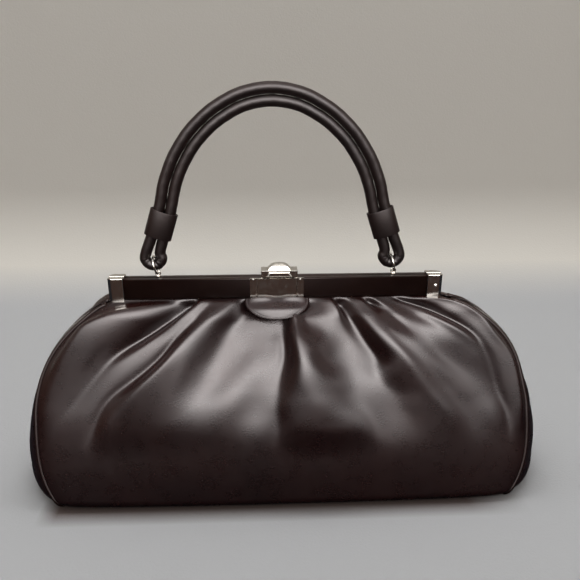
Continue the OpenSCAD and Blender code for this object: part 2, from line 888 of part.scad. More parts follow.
// Side view of the lever: a top plate with a lip in front and a barrel on the pin
module lever_side() {
    lip_low = lever_top_z - lip_h;
    difference() {
        union() {
            translate([-lever_front_y, lever_top_z - lever_t])
                square([lever_front_y + pivot_y, lever_t]);
            translate([-lever_front_y, lip_low])
                square([lever_t, lip_h]);
            translate([pivot_y, pivot_z])
                circle(barrel_r);
            translate([pivot_y - web_in, pivot_z])
                square([web_w, lever_top_z - pivot_z - web_drop]);
        }
        translate([pivot_y, pivot_z])
            circle(pin_r + fit_gap);
        translate([-lever_front_y - cut, lever_top_z])
            rotate(-45)
            square([lip_ease, lip_ease], center = true);
    }
}
module clasp_lever() {
    ear_slot = ear_t + 2 * touch_gap;
    slot_h = pivot_z + barrel_r - frame_top + cut + touch_gap;
    lip_low = lever_top_z - lip_h;
    panel_w = lever_w * face_share;
    color(nickel_color) {
        difference() {
            translate([lever_x - lever_w / 2, 0, 0])
                rotate([90, 0, 90])
                linear_extrude(lever_w)
                lever_side();
            for (side = [-1, 1])
                translate([
                    lever_x + side * ear_x - ear_slot / 2,
                    pivot_y - barrel_r - touch_gap,
                    frame_top - cut
                ])
                    cube([ear_slot, 2 * barrel_r + 2 * touch_gap + cut, slot_h]);
        }
        translate([lever_x, -lever_front_y, lip_low + lip_h / 2 - face_drop])
            rotate([90, 0, 0])
            lever_face(panel_w, face_h);
    }
}
// Raised, bevelled trapezoid on the lip
module lever_face(width, height) {
    steps = 3;
    for (i = [0 : steps - 1])
        let (inset = face_inset * i, z = face_step * i)
        translate([0, 0, z - overlap])
            linear_extrude(face_step + overlap)
            polygon([
                [-width / 2 + inset, -height / 2 + inset * 0.6],
                [width / 2 - inset, -height / 2 + inset * 0.6],
                [width / 2 - height * 0.5 - inset, height / 2 - inset * 0.6],
                [-width / 2 + height * 0.5 + inset, height / 2 - inset * 0.6]
            ]);
}
// Rounded thumb piece on the lever's top
module clasp_thumb_piece() {
    side_r = bow_r(thumb_w, thumb_h);
    front_r = bow_r(thumb_d, thumb_h);
    color(nickel_color)
        translate([lever_x, -lever_front_y + thumb_set_back + thumb_d / 2, lever_top_z])
        intersection() {
            translate([0, 0, thumb_h - side_r])
                rotate([90, 0, 0])
                cylinder(h = 2 * thumb_d, r = side_r, center = true, $fn = 96);
            translate([0, 0, thumb_h - front_r])
                rotate([0, 90, 0])
                cylinder(h = 2 * thumb_w, r = front_r, center = true);
            translate([-thumb_w / 2, -thumb_d / 2, 0])
                cube([thumb_w, thumb_d, thumb_h]);
        }
}
// Leaf spring under the lever, between the bracket's ears
module clasp_spring() {
    low = frame_top + bracket_t;
    foot = inner_y + bracket_set_back + fit_gap;
    tip = pivot_y - barrel_r * 0.625;
    color(steel_color)
        translate([lever_x + spring_w / 2, 0, 0])
        rotate([90, 0, -90])
        linear_extrude(spring_w)
        polygon([
            [-foot, low],
            [-tip, low],
            [-tip, low + spring_t],
            [-(foot + spring_t), low + spring_t],
            [-(foot + spring_t), low + spring_h],
            [-foot, low + spring_h]
        ]);
}

// Eyes on the rear half, rings and handle

ring_tilt = 12;
eye_y = (inner_y + half_depth) / 2;
eye_wire_r = 0.4;
eye_hole_r = wire_r + 0.4;
eye_mid_r = eye_hole_r + eye_wire_r;
eye_flange_r = 1.7;
eye_flange_h = 0.3;
eye_root = 0.2;
eye_z = frame_top + eye_flange_h + eye_mid_r + eye_wire_r - fit_gap;
eye_shank_r = 0.5;
eye_tail_r = 0.65;
eye_tail_h = 0.45;
eye_tail_drop = 0.5;
eye_tail_z = frame_top - cover_t - rail_wall;
module eye_tail_holes() {
    for (side = [-1, 1])
        translate([side * eye_span / 2, -eye_y, eye_tail_z - cut])
            cylinder(h = cover_t + rail_wall + 2 * cut, r = eye_shank_r + fit_gap);
}
module eye(side) {
    color(nickel_color)
        translate([side * eye_span / 2, eye_y, 0]) {
            translate([0, 0, eye_z])
                rotate([90, 0, 0])
                rotate_extrude()
                translate([eye_mid_r, 0])
                circle(eye_wire_r, $fn = 24);
            translate([0, 0, frame_top])
                cylinder(h = eye_flange_h + eye_root, r = eye_flange_r);
            translate([0, 0, eye_tail_z - eye_tail_drop])
                cylinder(h = cover_t + rail_wall + eye_tail_drop, r = eye_shank_r);
            translate([0, 0, eye_tail_z - eye_tail_drop])
                cylinder(h = eye_tail_h, r = eye_tail_r);
        }
}
module left_eye() {
    eye(-1);
}
module right_eye() {
    eye(1);
}

ring_rise = ring_r * cos(ring_tilt);
ring_lean = ring_r * sin(ring_tilt);
ring_z = eye_z + ring_rise;
module ring(side) {
    color(nickel_color)
        translate([side * eye_span / 2 - ring_lean, eye_y, ring_z])
        rotate([0, -ring_tilt, 0])
        rotate([0, 90, 0])
        rotate_extrude()
        translate([ring_r, 0])
        circle(wire_r, $fn = 24);
}
module left_ring() {
    ring(-1);
}
module right_ring() {
    ring(1);
}

// Middle line between the two runs of the handle, right half, as [x, height above the ring]
handle_line = [[0, 101.5], [16, 99], [31, 91.5], [44, 80.5], [54, 67], [61, 52], [65.5, 35], [71.5, 17]];
handle_half = eye_span / 2;
run_gap = 0.15;
run_offset = tube_r + run_gap / 2;
loop_z = ring_z + loop_r;
function line_at(i) = handle_line[i];
function line_count() = len(handle_line);
function line_normal(i) = let (
    a = line_at(max(i - 1, 0)),
    b = line_at(min(i + 1, line_count() - 1)),
    t = i == 0 ? [1, 0] : unit(b - a)
) [-t[1], t[0]];
function run_point(i, side) = let (p = line_at(i) + side * run_offset * line_normal(i)) [p[0], p[1] + ring_z];
function loop_point(a) = [handle_half + loop_r * cos(a), loop_z + loop_r * sin(a)];
function right_route() = concat(
    [for (i = [0 : line_count() - 1]) run_point(i, 1)],
    [for (a = [35 : -50 : -215]) loop_point(a)],
    [for (i = [line_count() - 1 : -1 : 1]) run_point(i, -1)]
);
function handle_route() = let (right = right_route(), n = len(right))
    concat(
        right,
        [run_point(0, -1)],
        [for (i = [n - 1 : -1 : 1]) [-right[i][0], right[i][1]]]
    );
function narrow(p) = p[1] < loop_z + loop_r ? loop_tube_r : tube_r;

module handle_loop() {
    flat = smooth_closed(handle_route(), 2);
    path = [for (p = flat) [p[0] - handle_shift, eye_y, p[1]]];
    color(leather_color)
        tube_solid(path, [for (p = flat) narrow(p)], [0, 1, 0], true, 10);
}

collar_pos = [68.5, 26];
collar_tilt = 18.4;
module stadium(half_length, r) {
    square([2 * half_length, 2 * r], center = true);
    for (side = [-1, 1])
        translate([side * half_length, 0])
            circle(r);
}
module collar() {
    inner_r = tube_r + touch_gap;
    color(leather_color)
        translate([collar_pos[0], eye_y, ring_z + collar_pos[1]])
        rotate([0, -collar_tilt, 0])
        translate([0, 0, -collar_l / 2])
        linear_extrude(collar_l)
        difference() {
            stadium(run_offset, inner_r + collar_t);
            stadium(run_offset + touch_gap, inner_r);
        }
}
module right_collar() {
    translate([-handle_shift, 0, 0]) collar();
}
module left_collar() {
    translate([-handle_shift, 0, 0]) other_side() collar();
}

body_shell();
left_gusset();
right_gusset();
left_piping();
right_piping();
base_board();
lining_bag();
inner_pocket();
left_hinge_rivet();
right_hinge_rivet();
front_rail();
front_rail_cover();
front_inner_strip();
front_left_cap();
front_right_cap();
front_cap_rivet();
front_panel_top();
front_lining_top();
clasp_plate();
clasp_keeper();
lock_tab();
rear_rail();
rear_rail_cover();
rear_inner_strip();
rear_left_cap();
rear_right_cap();
rear_panel_top();
rear_lining_top();
clasp_bracket();
clasp_pin();
clasp_spring();
left_eye();
right_eye();
clasp_lever();
clasp_thumb_piece();
left_ring();
right_ring();
handle_loop();
left_collar();
right_collar();
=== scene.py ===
"""Looks of a leather frame handbag.

A soft body of dark brown leather is gathered into a leather-covered frame with nickel end caps, a lift
clasp and a padded lock tab. A handle of two rolled strands stands on two rings. Lengths are millimetres
until a mesh is made, which is in metres.
"""

import logging
import math
from contextlib import contextmanager
from dataclasses import dataclass, field
from enum import Enum
from typing import Any, Callable, Iterator, Sequence

import bmesh
import bpy
import numpy as np
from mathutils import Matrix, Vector


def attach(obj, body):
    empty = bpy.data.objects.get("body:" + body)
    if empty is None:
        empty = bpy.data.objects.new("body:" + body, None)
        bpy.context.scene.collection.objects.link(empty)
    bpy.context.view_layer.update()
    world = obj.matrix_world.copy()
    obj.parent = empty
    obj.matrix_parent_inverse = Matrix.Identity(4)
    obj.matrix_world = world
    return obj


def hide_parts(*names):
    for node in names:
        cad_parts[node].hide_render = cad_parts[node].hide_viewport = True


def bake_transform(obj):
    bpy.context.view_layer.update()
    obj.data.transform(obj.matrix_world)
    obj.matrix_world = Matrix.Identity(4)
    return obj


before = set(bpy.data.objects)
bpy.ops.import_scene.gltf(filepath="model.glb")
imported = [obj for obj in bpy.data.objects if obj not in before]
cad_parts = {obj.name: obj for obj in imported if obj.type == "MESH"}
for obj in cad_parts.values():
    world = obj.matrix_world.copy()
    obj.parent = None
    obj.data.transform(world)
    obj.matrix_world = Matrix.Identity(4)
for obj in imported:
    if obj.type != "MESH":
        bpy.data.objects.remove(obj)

log = logging.getLogger("handbag")

MM = 0.001
# Millimetres left between faces that all but meet
TOUCH = 0.1
Colour = tuple[float, float, float]
Points = np.ndarray


class Side(Enum):
    """Front or rear half of the bag; the value is the sign of Y on that half."""

    FRONT = -1
    REAR = 1

    @property
    def body(self) -> str:
        """Name of the frame half on this side."""
        return "front_frame" if self is Side.FRONT else "rear_frame"

    @property
    def word(self) -> str:
        """The side's name, as pieces use it."""
        return self.name.lower()


class End(Enum):
    """Left or right end of the bag; the value is the sign of X at that end."""

    LEFT = -1
    RIGHT = 1

    @property
    def word(self) -> str:
        """The end's name, as pieces use it."""
        return self.name.lower()


# Shader sheets


class Signal:
    """A node's output that takes part in Python arithmetic by adding Math nodes."""

    def __init__(self, sheet: "NodeSheet", socket: bpy.types.NodeSocket) -> None:
        """Keeps the socket and the sheet that it belongs to."""
        self.sheet = sheet
        self.socket = socket

    def math(self, operation: str, *others: "Signal | float") -> "Signal":
        """Adds a Math node.

        Args:
            operation: The Math node's operation.
            *others: The values after this one.

        Returns:
            The node's result.
        """
        values = {i: v for i, v in enumerate((self, *others))}
        return self.sheet.add("ShaderNodeMath", {"operation": operation}, values)

    def __add__(self, other: "Signal | float") -> "Signal":
        """Sum."""
        return self.math("ADD", other)

    def __mul__(self, other: "Signal | float") -> "Signal":
        """Product."""
        return self.math("MULTIPLY", other)

    def __sub__(self, other: "Signal | float") -> "Signal":
        """Difference."""
        return self.math("SUBTRACT", other)

    def __rsub__(self, other: float) -> "Signal":
        """Difference from a number."""
        return self.sheet.add("ShaderNodeMath", {"operation": "SUBTRACT"}, {0: other, 1: self})

    def clamp(self) -> "Signal":
        """The value kept between 0 and 1."""
        return self.sheet.add("ShaderNodeClamp", {}, {0: self})

    def span(self, low: float, high: float, start: float = 0.0, end: float = 1.0) -> "Signal":
        """Maps low..high to start..end and clamps.

        Args:
            low: Value that becomes start.
            high: Value that becomes end.
            start: Result at low.
            end: Result at high.

        Returns:
            The mapped value.
        """
        values = {0: self, 1: low, 2: high, 3: start, 4: end}
        return self.sheet.add("ShaderNodeMapRange", {}, values)


class NodeSheet:
    """The nodes of one material, or of the world."""

    def __init__(self, owner: bpy.types.Material | bpy.types.World) -> None:
        """Empties the owner's nodes."""
        self.owner = owner
        owner.use_nodes = True
        self.tree = owner.node_tree
        self.tree.nodes.clear()

    @classmethod
    def named(cls, name: str) -> "NodeSheet":
        """Starts a new material of that name."""
        return cls(bpy.data.materials.new(name))

    def add(self, kind: str, settings: dict[str, Any] | None = None,
            inputs: dict[int | str, Any] | None = None, output: int | str = 0) -> Signal:
        """Adds one node.

        Args:
            kind: The node's type.
            settings: What to set on the node first.
            inputs: Values or signals for its sockets, by name or number.
            output: Which output to hand back.

        Returns:
            That output.
        """
        node = self.tree.nodes.new(kind)
        for key, value in (settings or {}).items():
            setattr(node, key, value)
        for key, value in (inputs or {}).items():
            socket = node.inputs[key]
            if isinstance(value, Signal):
                self.tree.links.new(value.socket, socket)
            elif socket.type == "RGBA":
                socket.default_value = (*value, 1.0)
            else:
                socket.default_value = value
        return Signal(self, node.outputs[output])

    def place(self, kind: str = "Object") -> Signal:
        """Coordinates: the object's own, in metres, or its UV or Generated ones."""
        return self.add("ShaderNodeTexCoord", output=kind)

    def axis(self, letter: str, where: Signal | None = None) -> Signal:
        """One axis of the given coordinates, or of the object's own."""
        return self.add("ShaderNodeSeparateXYZ", {}, {0: where or self.place()}, letter)

    def stretched(self, scale: Sequence[float], turn: Sequence[float] = (0, 0, 0),
                  where: Signal | None = None) -> Signal:
        """The given coordinates, or the object's own, turned and scaled along each axis."""
        values = {"Vector": where or self.place(), "Rotation": turn, "Scale": scale}
        return self.add("ShaderNodeMapping", {}, values)

    def noise(self, size: float, where: Signal | None = None, detail: float = 2.0,
              rough: float = 0.5) -> Signal:
        """Noise whose features are about size millimetres across.

        Args:
            size: Feature size in millimetres.
            where: Coordinates in metres, or the object's own.
            detail: Number of finer layers.
            rough: Strength of the finer layers.

        Returns:
            A value from 0 to 1.
        """
        values = {"Vector": where or self.place(), "Scale": 1 / (size * MM), "Detail": detail,
                  "Roughness": rough}
        return self.add("ShaderNodeTexNoise", {}, values)

    def cells(self, size: float) -> Signal:
        """Distance pattern of cells about size millimetres across."""
        values = {"Vector": self.place(), "Scale": 1 / (size * MM)}
        return self.add("ShaderNodeTexVoronoi", {"feature": "F1"}, values, "Distance")

    def mix(self, share: Signal | float, first: Signal | Colour, second: Signal | Colour) -> Signal:
        """First colour at share 0 and second at share 1."""
        node = {"data_type": "RGBA"}
        return self.add("ShaderNodeMix", node, {0: share, 6: first, 7: second}, 2)

    def bump(self, height: Signal, depth: float) -> Signal:
        """Normal of a relief that is depth millimetres deep."""
        values = {"Height": height, "Distance": depth * MM, "Strength": 1.0}
        return self.add("ShaderNodeBump", {}, values)

    def finish(self, inputs: dict[str, Any]) -> bpy.types.Material:
        """Adds the surface shader with those inputs and returns the material."""
        shader = self.add("ShaderNodeBsdfPrincipled", {}, inputs)
        self.end(shader)
        return self.owner

    def end(self, shader: Signal, kind: str = "ShaderNodeOutputMaterial") -> None:
        """Joins a shader to the output."""
        node = self.tree.nodes.new(kind)
        self.tree.links.new(shader.socket, node.inputs["Surface"])


@dataclass(frozen=True)
class LeatherFinish:
    """Smooth dressed leather with a fine grain, slight mottling and rubbed places."""

    name: str
    dark: Colour = (0.0205, 0.0050, 0.0049)
    warm: Colour = (0.0330, 0.0084, 0.0064)
    gloss: float = 0.28
    grain: float = 0.8
    grain_depth: float = 0.045
    shine: float = 0.5

    def material(self) -> bpy.types.Material:
        """Builds the leather."""
        sheet = NodeSheet.named(self.name)
        mottle = sheet.noise(46.0, detail=3.0).span(0.38, 0.66)
        cloud = sheet.noise(9.0, detail=4.0, rough=0.6)
        colour = sheet.mix(mottle * 0.55 + cloud * 0.25, self.dark, self.warm)
        grain = sheet.cells(self.grain)
        pores = sheet.noise(self.grain * 0.45, detail=1.0)
        rubbed = sheet.noise(3.0, sheet.stretched((1, 1, 2.5)), detail=5.0, rough=0.7).span(0.52, 0.8)
        relief = grain * 0.6 + pores * 0.55
        return sheet.finish({
            "Base Color": colour,
            "Roughness": (cloud * 0.10 + rubbed * 0.08 + (self.gloss - 0.05)).clamp(),
            "Normal": sheet.bump(relief, self.grain_depth),
            "Specular IOR Level": self.shine,
        })


@dataclass(frozen=True)
class NickelFinish:
    """Worn nickel plate with fine scratches and faint tarnish."""

    name: str
    plate: Colour = (0.70, 0.665, 0.615)
    tarnish: Colour = (0.36, 0.30, 0.25)
    gloss: float = 0.13
    wear: float = 0.5
    pit: float = 0.55
    pit_depth: float = 0.012

    def material(self) -> bpy.types.Material:
        """Builds the plated metal."""
        sheet = NodeSheet.named(self.name)
        stains = sheet.noise(2.6, detail=5.0, rough=0.65).span(0.5, 0.78)
        pits = sheet.cells(self.pit).span(0.05, 0.45, 1.0, 0.0)
        lines = sheet.noise(0.35, sheet.stretched((0.12, 1, 1), (0, 0, 0.3)), detail=2.0)
        dull = stains * self.wear
        return sheet.finish({
            "Base Color": sheet.mix(dull, self.plate, self.tarnish),
            "Metallic": 1.0,
            "Roughness": (lines * 0.08 + dull * 0.2 + self.gloss).clamp(),
            "Normal": sheet.bump(lines * 0.5 - pits * 0.5 * self.wear, self.pit_depth),
        })


@dataclass(frozen=True)
class SteelFinish:
    """Brushed steel of the hidden frame parts."""

    name: str
    colour: Colour = (0.46, 0.46, 0.48)

    def material(self) -> bpy.types.Material:
        """Builds the brushed metal."""
        sheet = NodeSheet.named(self.name)
        lines = sheet.noise(0.3, sheet.stretched((0.05, 1, 1)), detail=3.0)
        spots = sheet.noise(4.0, detail=4.0).span(0.55, 0.75)
        return sheet.finish({
            "Base Color": sheet.mix(spots * 0.4, self.colour, (0.30, 0.27, 0.24)),
            "Metallic": 1.0,
            "Roughness": lines * 0.2 + 0.26,
            "Normal": sheet.bump(lines, 0.02),
        })


@dataclass(frozen=True)
class ClothFinish:
    """Ribbed lining cloth whose weave follows the piece's own UV map, in metres."""

    name: str
    thread: Colour = (0.300, 0.205, 0.135)
    shade: Colour = (0.205, 0.135, 0.085)
    pitch: float = 0.55

    def material(self) -> bpy.types.Material:
        """Builds the woven cloth."""
        sheet = NodeSheet.named(self.name)
        uv = sheet.place("UV")
        turns = math.tau / (self.pitch * MM)
        warp, weft = ((sheet.axis(letter, uv) * (turns * share)).math("SINE") * 0.5 + 0.5
                      for letter, share in (("X", 1.0), ("Y", 0.5)))
        slub = sheet.noise(1.2, sheet.stretched((0.3, 1, 1), where=uv))
        weave = warp * 0.5 + weft * 0.5
        return sheet.finish({
            "Base Color": sheet.mix((weave * 0.6 + slub * 0.4).clamp(), self.shade, self.thread),
            "Roughness": 0.72,
            "Normal": sheet.bump(weave + slub * 0.5, 0.09),
            "Sheen Weight": 0.25,
            "Sheen Roughness": 0.4,
        })


@dataclass(frozen=True)
class BoardFinish:
    """Grey-brown fibre board under the lining."""

    name: str

    def material(self) -> bpy.types.Material:
        """Builds the board."""
        sheet = NodeSheet.named(self.name)
        fibres = sheet.noise(1.5, sheet.stretched((0.3, 1, 1)), detail=5.0, rough=0.7)
        return sheet.finish({
            "Base Color": sheet.mix(fibres, (0.14, 0.10, 0.07), (0.25, 0.19, 0.13)),
            "Roughness": 0.85,
            "Normal": sheet.bump(fibres, 0.05),
        })


class Finishes:
    """Every finish of the bag, built once."""

    def __init__(self) -> None:
        """Builds the materials."""
        self.body = LeatherFinish("body_leather").material()
        self.trim = LeatherFinish(
            "trim_leather", dark=(0.0170, 0.0046, 0.0030), warm=(0.0260, 0.0080, 0.0050),
            grain=0.6, grain_depth=0.02, gloss=0.34, shine=0.25).material()
        self.handle = LeatherFinish(
            "handle_leather", dark=(0.0150, 0.0045, 0.0038), warm=(0.0300, 0.0098, 0.0066),
            grain=0.7, grain_depth=0.04, gloss=0.38, shine=0.42).material()
        self.nickel = NickelFinish("nickel_plate").material()
        self.pitted = NickelFinish(
            "pitted_nickel", gloss=0.24, wear=0.9, pit=0.8, pit_depth=0.09).material()
        self.steel = SteelFinish("brushed_steel").material()
        self.lining = ClothFinish("lining_cloth").material()
        self.board = BoardFinish("fibre_board").material()


# The bag's shape


def smooth_step(values: Points | float) -> Points:
    """0 below 0, 1 above 1, and a smooth turn between."""
    t = np.clip(values, 0, 1)
    return t * t * (3 - 2 * t)


@dataclass(frozen=True)
class BagOutline:
    """Outside of the bag by the height z, and by u from -1 at the left seam to 1 at the right one."""

    top_z: float = 124.1
    frame_half_w: float = 103.0
    panel_half_w: float = 156.0
    foot_half_w: float = 142.0
    widest_z: float = 55.0
    top_depth: float = 4.2
    base_half_d: float = 48.0
    leather_t: float = 1.4
    edge_r: float = 7.0
    piping_r: float = 1.3
    sag: float = 4.5
    swell: float = 2.2
    swell_w: float = 6.0
    left_spread: float = 3.5
    right_spread: float = 10.5
    foot_curve: int = 3
    shoulder_curve: float = 2.2
    deep_z: float = 70.0
    deep_reach: float = 30.0

    def rise(self, z: Points) -> Points:
        """Share of the panel's height."""
        return np.clip(z / self.top_z, 0, 1)

    def deep(self, z: Points) -> Points:
        """Share of the way up into the part where the folds are deepest."""
        return smooth_step((z - self.deep_z) / self.deep_reach)

    def from_widest(self, z: Points) -> tuple[Points, Points]:
        """Shares of the way from the widest height down to the foot and up to the frame."""
        low = np.clip((self.widest_z - z) / self.widest_z, 0, 1)
        return low, np.clip((z - self.widest_z) / (self.top_z - self.widest_z), 0, 1)

    def half_w(self, z: Points) -> Points:
        """Half width at the seam."""
        low, high = self.from_widest(z)
        foot = (self.panel_half_w - self.foot_half_w) * low ** self.foot_curve
        shoulder = (self.panel_half_w - self.frame_half_w) * high ** self.shoulder_curve
        return self.panel_half_w - np.where(z < self.widest_z, foot, shoulder)

    def lean(self, z: Points) -> Points:
        """How much longer the slanting seam is than its height."""
        low, high = self.from_widest(z)
        foot = (self.panel_half_w - self.foot_half_w) / self.widest_z
        foot = self.foot_curve * foot * low ** (self.foot_curve - 1)
        shoulder = (self.panel_half_w - self.frame_half_w) / (self.top_z - self.widest_z)
        shoulder = self.shoulder_curve * shoulder * high ** (self.shoulder_curve - 1)
        return np.sqrt(1 + np.where(z < self.widest_z, foot, shoulder) ** 2)

    def middle_depth(self, z: Points) -> Points:
        """Depth at the middle of the panel."""
        fall = np.clip(1 - self.rise(z) ** 1.9, 0, 1) ** 0.8
        return self.top_depth + (self.base_half_d - self.top_depth) * fall

    def seam_depth(self, z: Points) -> Points:
        """Depth at the seams."""
        low = self.top_depth - 0.3
        return low + (self.base_half_d - 1 - low) * (1 - self.rise(z) ** 1.2)

    def offset(self, z: Points) -> Points:
        """How far the leather's outside stands off the neutral surface."""
        return self.leather_t * np.clip((1 - self.rise(z)) / (1 - self.rise(self.edge_r)), 0, 1)

    def depth(self, z: Points, u: Points) -> Points:
        """Depth of the leather's outside."""
        seam, middle = self.seam_depth(z), self.middle_depth(z)
        inwards = (1 - np.abs(u)) * self.half_w(z)
        puff = self.swell * (1 - np.exp(-inwards / self.swell_w)) * smooth_step((self.top_z - z) / 10)
        return seam + (middle - seam) * (1 - np.abs(u) ** 2.6) + self.offset(z) + puff

    def foot_pull(self, z: Points) -> Points:
        """How far the bottom edge's rounding draws the seam in."""
        dip = np.clip(self.edge_r ** 2 - (self.edge_r - z) ** 2, 0, None)
        return np.where(z < self.edge_r, self.edge_r - np.sqrt(dip), 0)

    def seam_line(self, z: Points) -> Points:
        """Depth of the seam's outside."""
        return self.seam_depth(z) + self.leather_t * (1 - self.rise(z)) - self.foot_pull(z)

    def shift(self, z: Points, u: Points | float = 0.0) -> Points:
        """How far the soft body is pushed to the right of the frame's own shape, at u.

        The whole body sags to the right below the frame, and its shoulders spread outwards.
        """
        sag = self.sag * (1 - self.rise(z) ** 3)
        shoulder = smooth_step((z - 66) / 44) * (1 - 0.8 * smooth_step((z - 117) / 8))
        spread = np.where(np.asarray(u) > 0, self.right_spread, self.left_spread)
        return sag + spread * shoulder * np.sign(u) * np.abs(u) ** 1.5

    def piping_x(self, z: Points) -> Points:
        """Distance of the piping's middle line from the bag's own middle."""
        return self.half_w(z) - self.piping_r * self.lean(z)

    def piping_y(self, z: Points) -> Points:
        """Depth of the piping's middle line."""
        return self.seam_line(z) - self.piping_r


@dataclass(frozen=True)
class Opening:
    """How the leather bends as the frame opens: still below one height, with the frame above another."""

    low_z: float = 55.0
    high_z: float = 110.0
    notch_z: float = 104.0

    def panel(self, side: Side) -> tuple[Points, Points]:
        """Start and end of a panel's bend, in metres."""
        y = side.value * 20.0
        return np.array([0, y, self.low_z]) * MM, np.array([0, y, self.high_z]) * MM

    def gusset(self, side: Side, outline: BagOutline) -> tuple[Points, Points]:
        """Start and end of the bend of one gusset half, which keeps still along its middle fold.

        Args:
            side: Front or rear half.
            outline: The bag's outline.

        Returns:
            The two points, in metres.
        """
        still = np.array([-float(outline.seam_line(np.array(self.low_z))), self.low_z])
        notch = np.array([0.0, self.notch_z])
        moving = np.array([-float(outline.seam_line(np.array(self.high_z))), self.high_z])
        along = (still - notch) / np.linalg.norm(still - notch)
        across = np.array([along[1], -along[0]])
        reach = float((moving - notch) @ across)
        tip = notch + across * reach
        flip = -side.value
        start, end = (np.array([0, flip * p[0], p[1]]) * MM for p in (notch, tip))
        return start, end


@dataclass(frozen=True)
class Line:
    """A crest or a valley that fans down a panel.

    across gives u and height the relief in millimetres, both at the heights in LINE_HEIGHTS. keen is 0
    for a round crest or valley and 1 for a sharp one.
    """

    across: tuple[float, ...]
    height: tuple[float, ...]
    keen: float = 0.0


@dataclass(frozen=True)
class Puff:
    """A rounded swelling or dimple of a panel round (u, z); turn leans it, in degrees."""

    u: float
    z: float
    wide: float
    high: float
    height: float
    turn: float = 0.0

    def relief(self, u: Points, z: Points, width: Points) -> Points:
        """Height that this swelling adds, in millimetres."""
        x, y = (u - self.u) * width, z - self.z
        c, s = math.cos(math.radians(self.turn)), math.sin(math.radians(self.turn))
        along, up = (x * c + y * s) / self.wide, (y * c - x * s) / self.high
        return self.height * np.exp(-along ** 2 - up ** 2)


LINE_HEIGHTS = (124.0, 119.0, 112.0, 103.0, 93.0, 82.0, 70.0, 56.0, 40.0)
FRONT_LINES: tuple[Line, ...] = (
    Line((-0.56, -0.812, -0.946, -0.93, -0.933, -0.933, -0.948, -0.96, -0.96),
         (-3.07, 6.31, 8.82, 6.94, 4.4, 2.25, 1, 0.54, 0), 0.14),
    Line((-0.495, -0.525, -0.562, -0.651, -0.734, -0.775, -0.821, -0.9, -0.92),
         (-4.99, -7.62, -7.46, -4.35, -1, -1.18, -1.17, 0.06, 0), 1.2),
    Line((-0.416, -0.498, -0.559, -0.603, -0.631, -0.691, -0.738, -0.8, -0.83),
         (3.66, 3.94, 2.1, 3, 1.28, 0.07, -0.32, 0.08, 0), 0.01),
    Line((-0.392, -0.413, -0.439, -0.491, -0.511, -0.585, -0.708, -0.75, -0.79),
         (2.18, 0.48, 0.49, -1.11, -4.29, -3.07, -1.7, -1.53, 0), 1.18),
    Line((-0.242, -0.305, -0.397, -0.449, -0.505, -0.575, -0.606, -0.68, -0.72),
         (1.54, 2.08, 2.75, 4.46, 6.1, 5.72, 4.17, 2.68, 0), 0),
    Line((-0.174, -0.16, -0.187, -0.222, -0.236, -0.257, -0.355, -0.46, -0.5),
         (-6.15, -8.13, -8, -7.98, -6.47, -2.35, 1.56, 2.14, 0), 0.4),
    Line((0.012, -0.002, -0.008, -0.013, -0.016, -0.031, -0.042, -0.095, -0.12),
         (0.21, -2.79, -5.87, -3.56, -1.19, -0.41, 1.33, 0.65, 0), 0),
    Line((0.052, 0.048, 0.02, 0.023, 0.015, -0.017, -0.036, -0.03, -0.05),
         (-3.2, -6.6, -8.95, -9.1, -6.85, -1.95, 0.75, -0.58, 0), 1.11),
    Line((0.08, 0.079, 0.067, 0.062, 0.075, 0.079, 0.113, 0.13, 0.135),
         (-1.17, 1.27, 3.81, 5.03, 5.86, 6.72, 6.41, 8.42, 0), 0.05),
    Line((0.148, 0.148, 0.117, 0.169, 0.151, 0.238, 0.253, 0.32, 0.36),
         (-3.97, -0.91, -0.8, -0.34, -0.24, 0.17, -0.35, 0.66, 0), 0.76),
    Line((0.302, 0.346, 0.275, 0.312, 0.312, 0.308, 0.317, 0.36, 0.4),
         (0.82, -0.32, -2.95, -5.38, -4.78, -3.06, -2.47, -1.48, 0), 0.1),
    Line((0.371, 0.35, 0.369, 0.376, 0.409, 0.373, 0.452, 0.51, 0.54),
         (-12.35, -12.75, -13.3, -13.51, -10.15, -3.62, -0.46, -0.71, 0), 1.18),
    Line((0.486, 0.509, 0.483, 0.482, 0.511, 0.539, 0.591, 0.67, 0.7),
         (0.62, 0.32, -0.36, 2.27, 5.42, 3.74, 1.55, 0.91, 0), 0.25),
    Line((0.563, 0.527, 0.5, 0.548, 0.587, 0.64, 0.696, 0.75, 0.79),
         (-6.83, -1.65, 0.85, 3.78, 2.75, 0.78, -1.88, -0.78, 0), 0.08),
    Line((0.573, 0.587, 0.617, 0.682, 0.673, 0.759, 0.821, 0.85, 0.88),
         (0.61, 0.25, 1.48, 1.36, 0.02, -1.25, -1.42, 0.35, 0), 0.13),
    Line((0.709, 0.782, 0.82, 0.867, 0.871, 0.874, 0.881, 0.91, 0.92),
         (-4.94, -7, -5.87, -1.57, -0.51, -1.11, -2.19, -1.17, 0), 1.19),
    Line((0.867, 0.942, 0.973, 0.934, 0.962, 0.971, 0.97, 0.965, 0.965),
         (2.56, 7.34, 8.66, 6.39, 5.64, 5.18, 4.38, 3.01, 0), 0.67),
)
